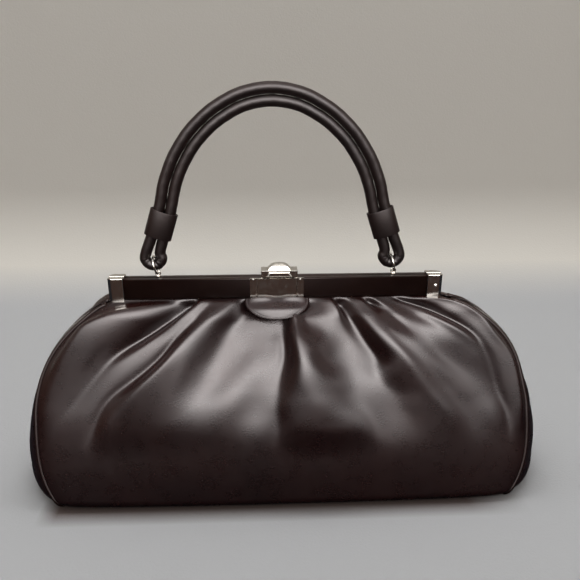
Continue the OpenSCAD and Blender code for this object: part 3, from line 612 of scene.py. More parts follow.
FRONT_PUFFS: tuple[Puff, ...] = (
    Puff(0.251, 107.6, 7.0, 7.9, 0.88, 1),
    Puff(0.775, 112.2, 15.8, 4.3, 3.6, -49),
    Puff(0.569, 116.9, 2.0, 8.8, -0.98, 17),
    Puff(-0.208, 120.3, 2.7, 4.0, 1.5, -30),
    Puff(-0.302, 78.2, 12.4, 19.9, -2.2, -28),
    Puff(-0.108, 69.6, 12.3, 16.4, -3.5, -41),
    Puff(0.151, 58.0, 18.0, 7.9, -2.1, -5),
    Puff(0.442, 72.7, 9.1, 15.2, -1.4, 2),
    Puff(0.704, 70.1, 15.6, 8.1, 0.81, -6),
    Puff(-0.668, 62.1, 8.6, 11.8, -0.42, -6),
    Puff(-0.806, 87.9, 3.6, 11.3, -0.33, -16),
    Puff(0.821, 104.9, 10.6, 21.9, 2.9, 6),
    Puff(0.144, 96.8, 9.8, 14.9, 2.5, -27),
    Puff(-0.0427, 96.7, 9.2, 19.6, -2.3, 9),
    Puff(-0.584, 105.0, 8.5, 17.1, -2.7, -30),
    Puff(0.415, 109.8, 10.0, 19.1, 5.1, 10),
    Puff(-0.421, 85.3, 4.1, 11.1, 0.4, -14),
    Puff(0.729, 105.5, 12.5, 11.1, 1.4, 14),
    Puff(-0.06, 111.0, 16.0, 4.5, -3.2, 0),
)
BELLY_HEIGHTS = (0.0, 4.0, 13.0, 20.0, 30.0, 40.0, 50.0, 60.0, 70.0, 80.0, 95.0, 110.0)
BELLIES = {
    End.LEFT: (15.0, 18.5, 20.0, 18.8, 16.0, 13.0, 10.3, 7.0, 4.5, 2.6, 1.2, 0.6),
    End.RIGHT: (17.0, 20.5, 20.8, 18.9, 16.6, 14.2, 11.0, 8.8, 6.0, 4.4, 1.8, 0.6),
}


def varied(lines: Sequence[Line]) -> tuple[Line, ...]:
    """The other panel's gathers: the same kind of fan, mirrored and unevenly changed."""
    made = []
    for i, line in enumerate(lines):
        nudge = 0.022 * math.sin(2.3 * i + 1)
        share = 0.9 + 0.22 * math.sin(1.7 * i)
        made.append(Line(tuple(-u * (1 - abs(nudge)) + nudge * (1 - abs(u)) for u in line.across),
                         tuple(h * share for h in line.height), line.keen))
    return tuple(reversed(made))


@dataclass(frozen=True)
class Gathers:
    """The relief of one panel from its crests, valleys and puffs."""

    lines: tuple[Line, ...]
    puffs: tuple[Puff, ...]
    ease_reach: float = 3.0
    keen_pull: float = 1.7

    def relief(self, u: Points, z: Points, width: Points) -> Points:
        """Height of the relief.

        Args:
            u: Places across, the same in each row.
            z: Heights, the same along each row.
            width: Half widths.

        Returns:
            Millimetres along the surface's normal.
        """
        heights = np.array(LINE_HEIGHTS)[::-1]
        rows = z[:, 0]
        steps = max(1, int(self.ease_reach / abs(rows[1] - rows[0])))
        across = [np.full(len(rows), -1.0)]
        relief = [np.zeros(len(rows))]
        for line in self.lines:
            across.append(ease(np.interp(rows, heights, line.across[::-1]), steps))
            relief.append(ease(np.interp(rows, heights, line.height[::-1], left=0), steps))
        across.append(np.full(len(rows), 1.0))
        relief.append(np.zeros(len(rows)))
        keen = np.array([0.0, *(line.keen for line in self.lines), 0.0]) * self.keen_pull
        places, levels = np.array(across), np.array(relief)
        made = np.zeros_like(u)
        for i in range(len(rows)):
            k = np.clip(np.searchsorted(places[:, i], u[i], side="right") - 1, 0, len(keen) - 2)
            apart = np.maximum(places[k + 1, i] - places[k, i], 1e-6)
            t = np.clip((u[i] - places[k, i]) / apart, 0, 1)
            share = ((3 - 2 * t) * t * t + keen[k] * (t ** 3 - 2 * t * t + t)
                     + keen[k + 1] * (t ** 3 - t * t))
            made[i] = levels[k, i] + (levels[k + 1, i] - levels[k, i]) * share
        return made + sum(puff.relief(u, z, width) for puff in self.puffs)


def ease(values: Points, reach: int) -> Points:
    """Smooths a row of values over a few neighbours."""
    padded = np.pad(values, reach, mode="edge")
    return np.convolve(padded, np.full(2 * reach + 1, 1 / (2 * reach + 1)), mode="valid")


# Mesh making


def mesh_piece(name: str, points: Points, faces: Sequence[Sequence[int]],
               uv: Points | None = None) -> bpy.types.Object:
    """Makes a mesh object whose place is in its mesh.

    Args:
        name: The piece's name.
        points: Its points, in millimetres.
        faces: Its faces, by point number, pointing outwards.
        uv: One (u, v) per point, in metres, if its finish needs them.

    Returns:
        The object, smooth shaded.
    """
    mesh = bpy.data.meshes.new(name)
    mesh.from_pydata((np.asarray(points, float) * MM).tolist(), [], [list(f) for f in faces])
    mesh.shade_smooth()
    if uv is not None:
        layer = mesh.uv_layers.new(name="UVMap")
        index = np.zeros(len(mesh.loops), int)
        mesh.loops.foreach_get("vertex_index", index)
        layer.data.foreach_set("uv", np.asarray(uv, float)[index].ravel())
    piece = bpy.data.objects.new(name, mesh)
    bpy.context.scene.collection.objects.link(piece)
    return piece


def grid_piece(name: str, grid: Points, flip: bool = False) -> bpy.types.Object:
    """Makes a sheet from rows of points.

    Args:
        name: The piece's name.
        grid: Rows by columns by 3, in millimetres.
        flip: Turns the faces over.

    Returns:
        The sheet, with a UV map that runs in metres along its rows and columns.
    """
    rows, cols = grid.shape[:2]
    ids = np.arange(rows * cols).reshape(rows, cols)
    quads = np.stack([ids[:-1, :-1], ids[1:, :-1], ids[1:, 1:], ids[:-1, 1:]], -1).reshape(-1, 4)
    if flip:
        quads = quads[:, ::-1]
    steps_u = np.linalg.norm(np.diff(grid, axis=1), axis=2).mean(0)
    steps_v = np.linalg.norm(np.diff(grid, axis=0), axis=2).mean(1)
    uv = np.stack(np.meshgrid(np.r_[0, np.cumsum(steps_u)], np.r_[0, np.cumsum(steps_v)]), -1)
    return mesh_piece(name, grid.reshape(-1, 3), quads.tolist(), uv.reshape(-1, 2) * MM)


def tube_piece(name: str, path: Points, radii: Points, side: Sequence[float], closed: bool, around: int,
               relief: Callable[[Points, Points], Points] | None = None) -> bpy.types.Object:
    """Makes a tube round a path.

    Args:
        name: The piece's name.
        path: Points along its middle line.
        radii: Its radius at each of them.
        side: A direction that the path never runs along.
        closed: Whether the path comes back to its start.
        around: Faces round the tube.
        relief: Gives the share by which the radius changes, from (place along, angle round).

    Returns:
        The tube, with closed ends.
    """
    count = len(path)
    ahead = np.roll(path, -1, axis=0) - np.roll(path, 1, axis=0)
    if not closed:
        ahead[0], ahead[-1] = path[1] - path[0], path[-1] - path[-2]
    ahead /= np.linalg.norm(ahead, axis=1)[:, None]
    first = np.cross(ahead, np.array(side, float))
    first /= np.linalg.norm(first, axis=1)[:, None]
    second = np.cross(ahead, first)
    angle = np.arange(around) * math.tau / around
    place, turn = np.meshgrid(np.arange(count), angle, indexing="ij")
    reach = radii[:, None] * (1 + (relief(place, turn) if relief else 0))
    ring = first[:, None] * np.cos(angle)[:, None] + second[:, None] * np.sin(angle)[:, None]
    points = path[:, None] + reach[..., None] * ring
    ids = np.arange(count * around).reshape(count, around)
    after = np.roll(ids, -1, axis=0) if closed else ids[1:]
    before = ids if closed else ids[:-1]
    quads = np.stack([before, after, np.roll(after, -1, 1), np.roll(before, -1, 1)], -1)
    quads = quads.reshape(-1, 4).tolist()
    if not closed:
        quads += [ids[0][::-1].tolist(), ids[-1].tolist()]
    piece = mesh_piece(name, points.reshape(-1, 3), quads)
    face_outwards(piece)
    return piece


def face_outwards(piece: bpy.types.Object) -> None:
    """Turns a closed mesh's faces outwards."""
    work = bmesh.new()
    work.from_mesh(piece.data)
    bmesh.ops.recalc_face_normals(work, faces=work.faces)
    work.to_mesh(piece.data)
    work.free()


class Bench:
    """Models rigid pieces with Blender's own tools, one at a time."""

    @staticmethod
    def clear() -> None:
        """Deselects everything."""
        bpy.ops.object.select_all(action="DESELECT")

    @staticmethod
    def pick(piece: bpy.types.Object) -> None:
        """Selects that piece alone."""
        Bench.clear()
        piece.select_set(True)
        bpy.context.view_layer.objects.active = piece

    @staticmethod
    def block(name: str, low: Sequence[float], high: Sequence[float]) -> bpy.types.Object:
        """Starts a piece from a block between two corners, in millimetres."""
        Bench.clear()
        middle = [(a + b) / 2 * MM for a, b in zip(low, high)]
        bpy.ops.mesh.primitive_cube_add(size=1, location=middle)
        piece = bpy.context.object
        piece.name = piece.data.name = name
        piece.scale = [(b - a) * MM for a, b in zip(low, high)]
        Bench.settle(piece)
        return piece

    @staticmethod
    def rod(name: str, radius: float, length: float, around: int) -> bpy.types.Object:
        """Starts a piece from an upright rod at the origin, in millimetres."""
        Bench.clear()
        bpy.ops.mesh.primitive_cylinder_add(vertices=around, radius=radius * MM, depth=length * MM,
                                            location=(0, 0, 0))
        piece = bpy.context.object
        piece.name = piece.data.name = name
        Bench.settle(piece)
        return piece

    @staticmethod
    def settle(piece: bpy.types.Object) -> None:
        """Moves the piece's place, turn and size into its mesh."""
        Bench.pick(piece)
        bpy.ops.object.transform_apply(location=True, rotation=True, scale=True)

    @staticmethod
    @contextmanager
    def editing(piece: bpy.types.Object) -> Iterator[bmesh.types.BMesh]:
        """Opens the piece in edit mode with nothing selected, and gives its mesh."""
        Bench.pick(piece)
        bpy.ops.object.mode_set(mode="EDIT")
        bpy.ops.mesh.select_all(action="DESELECT")
        yield bmesh.from_edit_mesh(piece.data)
        bpy.ops.object.mode_set(mode="OBJECT")

    @staticmethod
    def apply(piece: bpy.types.Object, kind: str, **settings: Any) -> None:
        """Adds a modifier with those settings and applies it."""
        Bench.pick(piece)
        modifier = piece.modifiers.new(kind.title(), kind)
        for key, value in settings.items():
            setattr(modifier, key, value)
        bpy.ops.object.modifier_apply(modifier=modifier.name)

    @staticmethod
    def soften(piece: bpy.types.Object, width: float, segments: int, angle: float = 30.0) -> None:
        """Rounds the piece's edges by width millimetres and shades it."""
        Bench.apply(piece, "BEVEL", width=width * MM, segments=segments, limit_method="ANGLE",
                    angle_limit=math.radians(angle))
        Bench.pick(piece)
        bpy.ops.object.shade_smooth_by_angle(angle=math.radians(40))


def thicken(piece: bpy.types.Object, thickness: float) -> None:
    """Gives a sheet its thickness, inwards."""
    Bench.apply(piece, "SOLIDIFY", thickness=thickness * MM, offset=-1.0, use_even_offset=True,
                use_rim=True)


def dress(piece: bpy.types.Object, material: bpy.types.Material, body: str | None = None,
          nodes: Sequence[str] = ()) -> bpy.types.Object:
    """Gives a finished piece its material and body, and reports it.

    Args:
        piece: The piece.
        material: Its finish.
        body: The body that it rides on, if any.
        nodes: The solids that it stands for.

    Returns:
        The same piece.
    """
    piece.data.materials.clear()
    piece.data.materials.append(material)
    if body:
        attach(piece, body)
    if nodes:
        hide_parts(*nodes)
    log.info("%s: %d faces", piece.name, len(piece.data.polygons))
    return piece


# The soft body


@dataclass
class SoftBody:
    """Gathered panels, gussets and piping."""

    finishes: Finishes
    outline: BagOutline = field(default_factory=BagOutline)
    opening: Opening = field(default_factory=Opening)
    cols: int = 240
    step: float = 1.15
    corner_rows: int = 7
    base_rows: int = 12
    even_share: float = 0.75
    fold_reach: float = 2.5
    fold_depth: float = 2.8
    deep_more: float = 3.0
    fold_soft: float = 0.9
    smoothings: int = 3
    seam_reach: float = 6.0
    seam_tuck: float = 2.2
    skin_share: float = 0.8
    rear_share: float = 0.9
    gusset_foot: float = 1.2

    def build(self) -> None:
        """Makes every piece of the soft body."""
        self.panel(Side.FRONT, Gathers(FRONT_LINES, FRONT_PUFFS))
        puffs = tuple(Puff(-p.u, p.z, p.wide, p.high, self.rear_share * p.height, -p.turn)
                      for p in FRONT_PUFFS)
        self.panel(Side.REAR, Gathers(varied(FRONT_LINES), puffs))
        for end in End:
            for side in Side:
                self.gusset(end, side)
                self.piping(end, side)

    def wall_heights(self) -> Points:
        """Heights of the rows down a panel, evenly spaced along its curve."""
        z = np.linspace(self.outline.top_z, self.outline.edge_r, 800)
        y = self.outline.depth(z, 0 * z)
        run = np.r_[0, np.cumsum(np.hypot(np.diff(z), np.diff(y)))]
        return np.interp(np.linspace(0, run[-1], int(run[-1] / self.step)), run, z)

    def folds(self, gathers: Gathers, z: Points, u: Points) -> Points:
        """Relief of a panel, with its valleys kept clear of the lining.

        Args:
            gathers: The panel's gathers.
            z: Heights, the same along each row.
            u: Places across, the same in each row.

        Returns:
            Millimetres along the surface's normal, running out at the frame and at the seams.
        """
        width = self.outline.half_w(z)
        height = gathers.relief(u, z, width)
        deepest = -(self.fold_depth + self.deep_more * self.outline.deep(z))
        height = deepest + self.fold_soft * np.logaddexp(0, (height - deepest) / self.fold_soft)
        for _ in range(self.smoothings):
            height[:, 1:-1] = (height[:, :-2] + 2 * height[:, 1:-1] + height[:, 2:]) / 4
            height[1:-1] = (height[:-2] + 2 * height[1:-1] + height[2:]) / 4
        seam = smooth_step((1 - np.abs(u)) * width / self.seam_reach)
        return height * smooth_step((self.outline.top_z - z) / self.fold_reach) * seam

    def foot_rows(self, foot: Points, u: Points) -> list[Points]:
        """Rows that carry on from a panel's lowest one, round the edge and to the middle of the base.

        Args:
            foot: The lowest row, columns by 3.
            u: Places across.

        Returns:
            The rows, each 1 by columns by 3.
        """
        line = self.outline
        pull = -foot[:, 1] - line.edge_r
        rows = []
        for i in range(1, self.corner_rows + 1):
            turn = math.pi / 2 * i / self.corner_rows
            drop = np.array(line.edge_r * (1 - math.sin(turn)))
            x = u * line.piping_x(drop) + line.shift(drop, u)
            row = np.stack([x, -pull - line.edge_r * math.cos(turn), np.full_like(x, drop)], -1)
            rows.append(row[None])
        last = rows[-1]
        for share in 1 - np.arange(1, self.base_rows + 1) / self.base_rows:
            row = last.copy()
            row[..., 1] = last[..., 1] * share - TOUCH * (1 - share)
            rows.append(row)
        return rows

    def panel_grid(self, gathers: Gathers) -> Points:
        """Outside of the front panel, from the frame down, round the edge and to the middle of the base.

        Args:
            gathers: Its relief.

        Returns:
            Rows by columns by 3, in millimetres.
        """
        line = self.outline
        even = np.linspace(-1, 1, self.cols)
        places = self.even_share * even + (1 - self.even_share) * np.sin(even * math.pi / 2)
        z, u = np.meshgrid(self.wall_heights(), places, indexing="ij")
        grid = np.stack([u * line.piping_x(z) + line.shift(z, u), -line.depth(z, u), z], -1)
        normal = np.cross(np.gradient(grid, axis=0), np.gradient(grid, axis=1))
        normal /= np.linalg.norm(normal, axis=2)[..., None]
        grid = grid + normal * self.folds(gathers, z, u)[..., None]
        grid[..., 2] = np.minimum(grid[..., 2], line.top_z - TOUCH / 2)
        edge = smooth_step(1 - (1 - np.abs(u)) * line.half_w(z) / self.seam_tuck)
        grid[..., 1] += edge * line.piping_r * 0.9
        return np.concatenate([grid, *self.foot_rows(grid[-1], places)])

    def panel(self, side: Side, gathers: Gathers) -> None:
        """Makes one gathered panel."""
        grid = self.panel_grid(gathers)
        if side is Side.REAR:
            grid = grid * np.array([1, -1, 1])
        name = f"{side.word}_leather"
        piece = grid_piece(name, grid, flip=side is Side.REAR)
        thicken(piece, self.outline.leather_t * self.skin_share)
        nodes = (f"{side.word}_panel_top", "body_shell")
        dress(piece, self.finishes.body, nodes=nodes)
        start, end = self.opening.panel(side)
        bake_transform(piece)

    def bulge(self, z: Points, s: Points, end: End) -> Points:
        """How far a gusset bellies out past the seams, at s from 0 at its fold to 1 at the seam."""
        fine = np.linspace(0, self.outline.top_z, 250)
        reach = ease(np.interp(fine, BELLY_HEIGHTS, BELLIES[end]), 8)
        return np.interp(z, fine, reach) * (1 - s ** (2.2 + 1.6 * smooth_step((22 - z) / 22)))

    def gusset(self, end: End, side: Side) -> None:
        """Makes half of an end gusset, from its middle fold to the seam."""
        line = self.outline
        t, s = np.meshgrid(np.linspace(0, 1, 70), np.linspace(0, 1, 26), indexing="ij")
        top = self.opening.notch_z + (line.top_z - self.seam_tuck - self.opening.notch_z) * s ** 0.8
        z = top + (self.gusset_foot - top) * t ** 0.9
        near = smooth_step((s - 0.86) / 0.14)
        inside, seam = line.half_w(z) - 0.4, line.piping_x(z)
        x = inside - (inside - seam) * near + self.bulge(z, s, end)
        y = s * line.piping_y(z)
        grid = np.stack([end.value * x + line.shift(z, end.value), side.value * y, z], -1)
        piece = grid_piece(f"{end.word}_gusset_{side.word}", grid, flip=end.value * side.value < 0)
        thicken(piece, line.leather_t * self.skin_share)
        dress(piece, self.finishes.body, nodes=(f"{end.word}_gusset",))
        start, stop = self.opening.gusset(side, line)
        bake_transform(piece)

    def piping(self, end: End, side: Side) -> None:
        """Makes the piping of one seam, from the frame down and to the middle of the base."""
        line = self.outline
        z = np.linspace(line.top_z - 3.0, line.piping_r, 110)
        x = end.value * line.piping_x(z) + line.shift(z, end.value)
        run = np.stack([x, side.value * line.piping_y(z), z], -1)
        under = run[-1] * np.stack([np.ones(14), np.linspace(1, 0, 15)[1:], np.ones(14)], -1)
        path = np.concatenate([run, under])
        radii = np.full(len(path), line.piping_r)
        piece = tube_piece(f"{end.word}_piping_{side.word}", path, radii, (1, 0, 0), False, 10)
        dress(piece, self.finishes.trim, nodes=(f"{end.word}_piping",))
        start, stop = self.opening.panel(side)
        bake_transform(piece)


# Lining


@dataclass
class Lining:
    """Cloth lining in walls, ends and floor, with a pocket on the rear wall."""

    finishes: Finishes
    outline: BagOutline = field(default_factory=BagOutline)
    opening: Opening = field(default_factory=Opening)
    gap: float = 3.6
    deep_gap: float = 3.6
    cloth_t: float = 0.5
    floor_z: float = 4.2
    end_inset: float = 8.0
    pocket_top: float = 54.0
    pocket_drop: float = 40.0
    pocket_half_w: float = 60.0

    def build(self) -> None:
        """Makes every piece of the lining."""
        for side in Side:
            self.wall(side)
            for end in End:
                self.end_wall(end, side)
        self.pocket()

    def wall_y(self, z: Points, u: Points) -> Points:
        """Depth of the lining's wall."""
        line = self.outline
        inside = line.depth(z, u) - line.leather_t - self.gap - self.deep_gap * line.deep(z)
        return np.maximum(inside, 1.0)

    def wall(self, side: Side) -> None:
        """Makes the lining's front or rear wall and its half of the floor."""
        line = self.outline
        heights = np.linspace(line.top_z - 0.3, self.floor_z + 3, 60)
        z, u = np.meshgrid(heights, np.linspace(-1, 1, 60), indexing="ij")
        half = np.minimum(line.half_w(z) - self.end_inset, 98 + 70 * smooth_step((116 - z) / 40))
        ripple = 0.5 * np.sin(u * 38) * smooth_step((line.top_z - z) / 30) * smooth_step((z - 30) / 50)
        y = self.wall_y(z, u) - ripple
        grid = np.stack([u * half + line.shift(z), side.value * y, z], -1)
        x, y = grid[-1, :, 0], grid[-1, :, 1]
        floor = [np.stack([x, y * s, np.full_like(x, self.floor_z + 3 * s ** 8)], -1)[None]
                 for s in np.linspace(1, 0, 14)[1:]]
        grid = np.concatenate([grid, *floor])
        piece = grid_piece(f"{side.word}_lining", grid, flip=side is Side.REAR)
        thicken(piece, self.cloth_t)
        nodes = (f"{side.word}_lining_top", "lining_bag")
        dress(piece, self.finishes.lining, nodes=nodes)
        start, stop = self.opening.panel(side)
        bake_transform(piece)

    def end_wall(self, end: End, side: Side) -> None:
        """Makes half of the lining's end wall."""
        line = self.outline
        t, s = np.meshgrid(np.linspace(0, 1, 40), np.linspace(0, 1, 16), indexing="ij")
        top = self.opening.notch_z - 6 + 14 * s
        z = top + (self.floor_z - top) * t
        belly = 4 * (1 - s ** 2) * np.sin(np.pi * line.rise(z) ** 0.4)
        x = end.value * (line.half_w(z) - self.end_inset + belly) + line.shift(z, 0.8 * end.value)
        grid = np.stack([x, side.value * s * self.wall_y(z, np.ones_like(z)), z], -1)
        piece = grid_piece(f"{end.word}_lining_{side.word}", grid, flip=end.value * side.value < 0)
        thicken(piece, self.cloth_t)
        dress(piece, self.finishes.lining)
        start, stop = self.opening.gusset(side, line)
        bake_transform(piece)

    def pocket(self) -> None:
        """Makes the open pocket on the rear wall."""
        line = self.outline
        t, v = np.meshgrid(np.linspace(0, 1, 26), np.linspace(-1, 1, 40), indexing="ij")
        z, x = self.pocket_top - self.pocket_drop * t, self.pocket_half_w * v
        gape = 2.5 * (1 - t) ** 2 * (1 - v ** 4)
        y = self.wall_y(z, x / line.half_w(z)) - self.cloth_t - 0.5 - gape
        piece = grid_piece("inner_pocket_cloth", np.stack([x, y, z], -1))
        thicken(piece, 0.8)
        dress(piece, self.finishes.lining, "bag", ("inner_pocket",))


# Frame


@dataclass
class FrameCovers:
    """Leather wrapped round the two rails."""

    finishes: Finishes
    end_x: float = 95.5
    low_z: float = 124.1
    high_z: float = 137.0
    face_y: float = 4.34
    inner_y: float = 0.2
    wrap_t: float = 0.63
    under_gap: float = 2.4
    lip: float = 2.0
    fold_r: float = 0.75

    def build(self) -> None:
        """Makes both covers."""
        for side in Side:
            self.cover(side)

    def cover(self, side: Side) -> None:
        """Wraps one rail: face, top with a turned-down lip, and a narrower turn underneath."""
        name = f"{side.word}_cover_leather"
        near, far = sorted((side.value * self.face_y, side.value * self.inner_y))
        inner, middle = side.value * self.inner_y * MM, (self.low_z + self.high_z) / 2 * MM
        piece = Bench.block(name, (-self.end_x, near, self.low_z), (self.end_x, far, self.high_z))
        with Bench.editing(piece) as mesh:
            for part in mesh.faces:
                part.select_set(abs(part.normal.x) > 0.9 or part.normal.y * side.value < -0.9)
            bpy.ops.mesh.delete(type="FACE")
        narrow, down = (0.0, side.value * self.under_gap * MM, 0.0), (0.0, 0.0, -self.lip * MM)
        for top, move in ((False, narrow), (True, down)):
            with Bench.editing(piece) as mesh:
                for edge in mesh.edges:
                    ends = [v.co for v in edge.verts]
                    edge.select_set(all(abs(p.y - inner) < 1e-5 and (p.z > middle) == top for p in ends))
                if top:
                    bpy.ops.mesh.extrude_edges_move(TRANSFORM_OT_translate={"value": move})
                else:
                    bpy.ops.transform.translate(value=move)
        Bench.soften(piece, self.fold_r, 5)
        thicken(piece, self.wrap_t)
        dress(piece, self.finishes.trim, side.body, (f"{side.word}_rail_cover",))


# Clasp tab


@dataclass
class LockTab:
    """Padded half-moon of leather under the front plate."""

    finishes: Finishes
    half_w: float = 20.25
    length: float = 15.0
    base_t: float = 1.1
    pad: float = 2.4
    top: tuple[float, float] = (-6.0, 123.6)
    angle: float = 42.0
    welt_t: float = 0.45

    def border(self, count: int = 96) -> Points:
        """The half-moon's edge, evenly spaced."""
        a = np.linspace(0, math.pi, 400)
        arc = np.stack([self.half_w * np.cos(a), -self.length * np.sin(a) ** 0.86], -1)
        arc = np.r_[arc, [[self.half_w, 0.0]]]
        run = np.r_[0, np.cumsum(np.linalg.norm(np.diff(arc, axis=0), axis=1))]
        places = np.linspace(0, run[-1], count, endpoint=False)
        return np.stack([np.interp(places, run, arc[:, i]) for i in (0, 1)], -1)

    def height(self, flat: Points) -> Points:
        """Height of the padded top over the base, at flat (x, y) points."""
        x, y = flat[..., 0] / self.half_w, -flat[..., 1] / self.length
        out = np.sqrt(x ** 2 + np.clip(y, 0, None) ** 2.3)
        swell = np.clip(1 - (out / 0.93) ** 4, 0, 1) ** 0.7
        brow = 0.45 * np.exp(-(y / 0.17) ** 2) * (1 - 0.9 * np.exp(-(x / 0.26) ** 2))
        belly = 0.5 * np.exp(-((y - 0.58) / 0.25) ** 2) * np.exp(-(x / 0.85) ** 4)
        rim = 0.30 * np.exp(-((out - 0.972) / 0.024) ** 2)
        return self.pad * swell * (0.5 + brow + belly) + rim

    def build(self) -> None:
        """Makes the tab."""
        border = self.border()
        centre = np.array([0, -self.length * 0.42])
        rings, faces = [], []
        shares = np.r_[np.linspace(0.04, 0.86, 16), 0.90, 0.93, 0.955, 0.975, 0.99, 1.0]
        for share in shares:
            flat = centre + (border - centre) * share
            drop = self.welt_t * (share > 0.985) + 0.2 * (share > 0.97)
            rings.append(np.c_[flat, self.base_t + self.height(flat) - drop])
        for share, z in ((1.0, self.welt_t), (0.99, 0.15), (0.96, 0.0), (0.5, 0.0), (0.04, 0.0)):
            rings.append(np.c_[centre + (border - centre) * share, np.full(len(border), z)])
        count = len(border)
        for i in range(len(rings) - 1):
            for k in range(count):
                a, b = i * count + k, i * count + (k + 1) % count
                faces.append((a, a + count, b + count, b))
        faces += [list(range(count)), [len(rings) * count - count + k for k in range(count)][::-1]]
        x, y, z = np.concatenate(rings).T
        c, s = math.cos(math.radians(self.angle)), math.sin(math.radians(self.angle))
        points = np.stack([x, y * c - z * s + self.top[0], y * s + z * c + self.top[1]], -1)
        piece = mesh_piece("lock_tab_leather", points, faces)
        face_outwards(piece)
        dress(piece, self.finishes.body, "front_frame", ("lock_tab",))


# Handle


@dataclass
class Handle:
    """One closed roll of leather, in two strands that loop round the rings, with two collars."""

    finishes: Finishes
    tube_r: float = 3.5
    loop_tube_r: float = 3.4
    loop_r: float = 5.3
    eye_half: float = 74.6
    shift_x: float = -2.0
    y: float = 2.275
    ring_z: float = 144.48
    run_gap: float = 0.1
    collar_size: tuple[float, float] = (8.5, 5.35)
    collar_t: float = 0.9
    collar_length: float = 17.0
    collar_tilt: float = 18.4
    collar_place: tuple[float, float] = (68.5, 26.0)
    middle: tuple[tuple[float, float], ...] = (
        (0, 101.5), (16, 99), (31, 91.5), (44, 80.5), (54, 67), (61, 52), (65.5, 35), (71.5, 17))

    def run_points(self, side: int) -> Points:
        """One strand's points from the top down, on the right half, as (x, z)."""
        line = np.array(self.middle, float)
        ahead = np.empty_like(line)
        ahead[1:-1] = line[2:] - line[:-2]
        ahead[0], ahead[-1] = (1, 0), line[-1] - line[-2]
        ahead /= np.linalg.norm(ahead, axis=1)[:, None]
        normal = np.stack([-ahead[:, 1], ahead[:, 0]], -1)
        return line + side * (self.tube_r + self.run_gap / 2) * normal + np.array([0, self.ring_z])

    def route(self) -> Points:
        """The whole closed middle line, as coarse (x, z) points."""
        angles = np.radians(np.arange(35, -216, -50))
        loop = np.stack([self.eye_half + self.loop_r * np.cos(angles),
                         self.ring_z + self.loop_r * (1 + np.sin(angles))], -1)
        right = np.concatenate([self.run_points(1), loop, self.run_points(-1)[:0:-1]])
        left = right[:0:-1] * np.array([-1, 1])
        return np.concatenate([right, self.run_points(-1)[:1], left])

    @staticmethod
    def smooth_closed(points: Points, steps: int) -> Points:
        """Catmull-Rom curve through closed points."""
        a, b, c, d = (np.roll(points, k, axis=0) for k in (1, 0, -1, -2))
        t = (np.arange(steps) / steps)[None, :, None]
        a, b, c, d = (p[:, None] for p in (a, b, c, d))
        curve = 0.5 * (2 * b + (c - a) * t + (2 * a - 5 * b + 4 * c - d) * t ** 2
                       + (3 * b - a - 3 * c + d) * t ** 3)
        return curve.reshape(-1, points.shape[1])

    def build(self) -> None:
        """Makes the strands and the collars."""
        flat = self.smooth_closed(self.route(), 14)
        loop_top = self.ring_z + 2 * self.loop_r
        low = smooth_step((loop_top + 6 - flat[:, 1]) / 10)
        path = np.stack([flat[:, 0] + self.shift_x, np.full(len(flat), self.y), flat[:, 1]], -1)
        radii = self.tube_r + (self.loop_tube_r - self.tube_r) * low
        run = np.r_[0, np.cumsum(np.linalg.norm(np.diff(path, axis=0), axis=1))]

        def wrinkles(place: Points, turn: Points) -> Points:
            """Creases round the loops and a faint unevenness along the strands."""
            s = run[place]
            crease = np.abs(np.sin(s * 1.1 + 0.9 * np.cos(turn) + 0.8 * np.sin(s * 0.37))) ** 0.4
            deep = smooth_step((loop_top - 3 - path[place, 2]) / 7)
            loops = deep * (crease - 0.8) * (0.10 + 0.06 * np.sin(s * 0.61))
            uneven = 0.012 * np.sin(s * 0.35 + turn) + 0.008 * np.sin(s * 0.9 - 2 * turn)
            return loops + uneven

        piece = tube_piece("handle_leather", path, radii, (0, 1, 0), True, 20, wrinkles)
        dress(piece, self.finishes.handle, "handle", ("handle_loop",))
        for end in End:
            self.collar(end)

    def collar(self, end: End) -> None:
        """Makes one leather collar round both strands: an oval sleeve with eased rims."""
        wide, deep = self.collar_size
        piece = Bench.rod(f"{end.word}_collar_leather", wide, self.collar_length, 72)
        piece.scale = (1.0, deep / wide, 1.0)
        Bench.settle(piece)
        with Bench.editing(piece) as mesh:
            for part in mesh.faces:
                part.select_set(abs(part.normal.z) > 0.9)
            bpy.ops.mesh.delete(type="FACE")
        thicken(piece, self.collar_t)
        Bench.soften(piece, 0.3, 3, 60.0)
        piece.rotation_euler = (0.0, -end.value * math.radians(self.collar_tilt), 0.0)
        x, z = self.collar_place
        piece.location = ((end.value * x + self.shift_x) * MM, self.y * MM, (z + self.ring_z) * MM)
        Bench.settle(piece)
        dress(piece, self.finishes.handle, "handle", (f"{end.word}_collar",))


# Carried-over metal


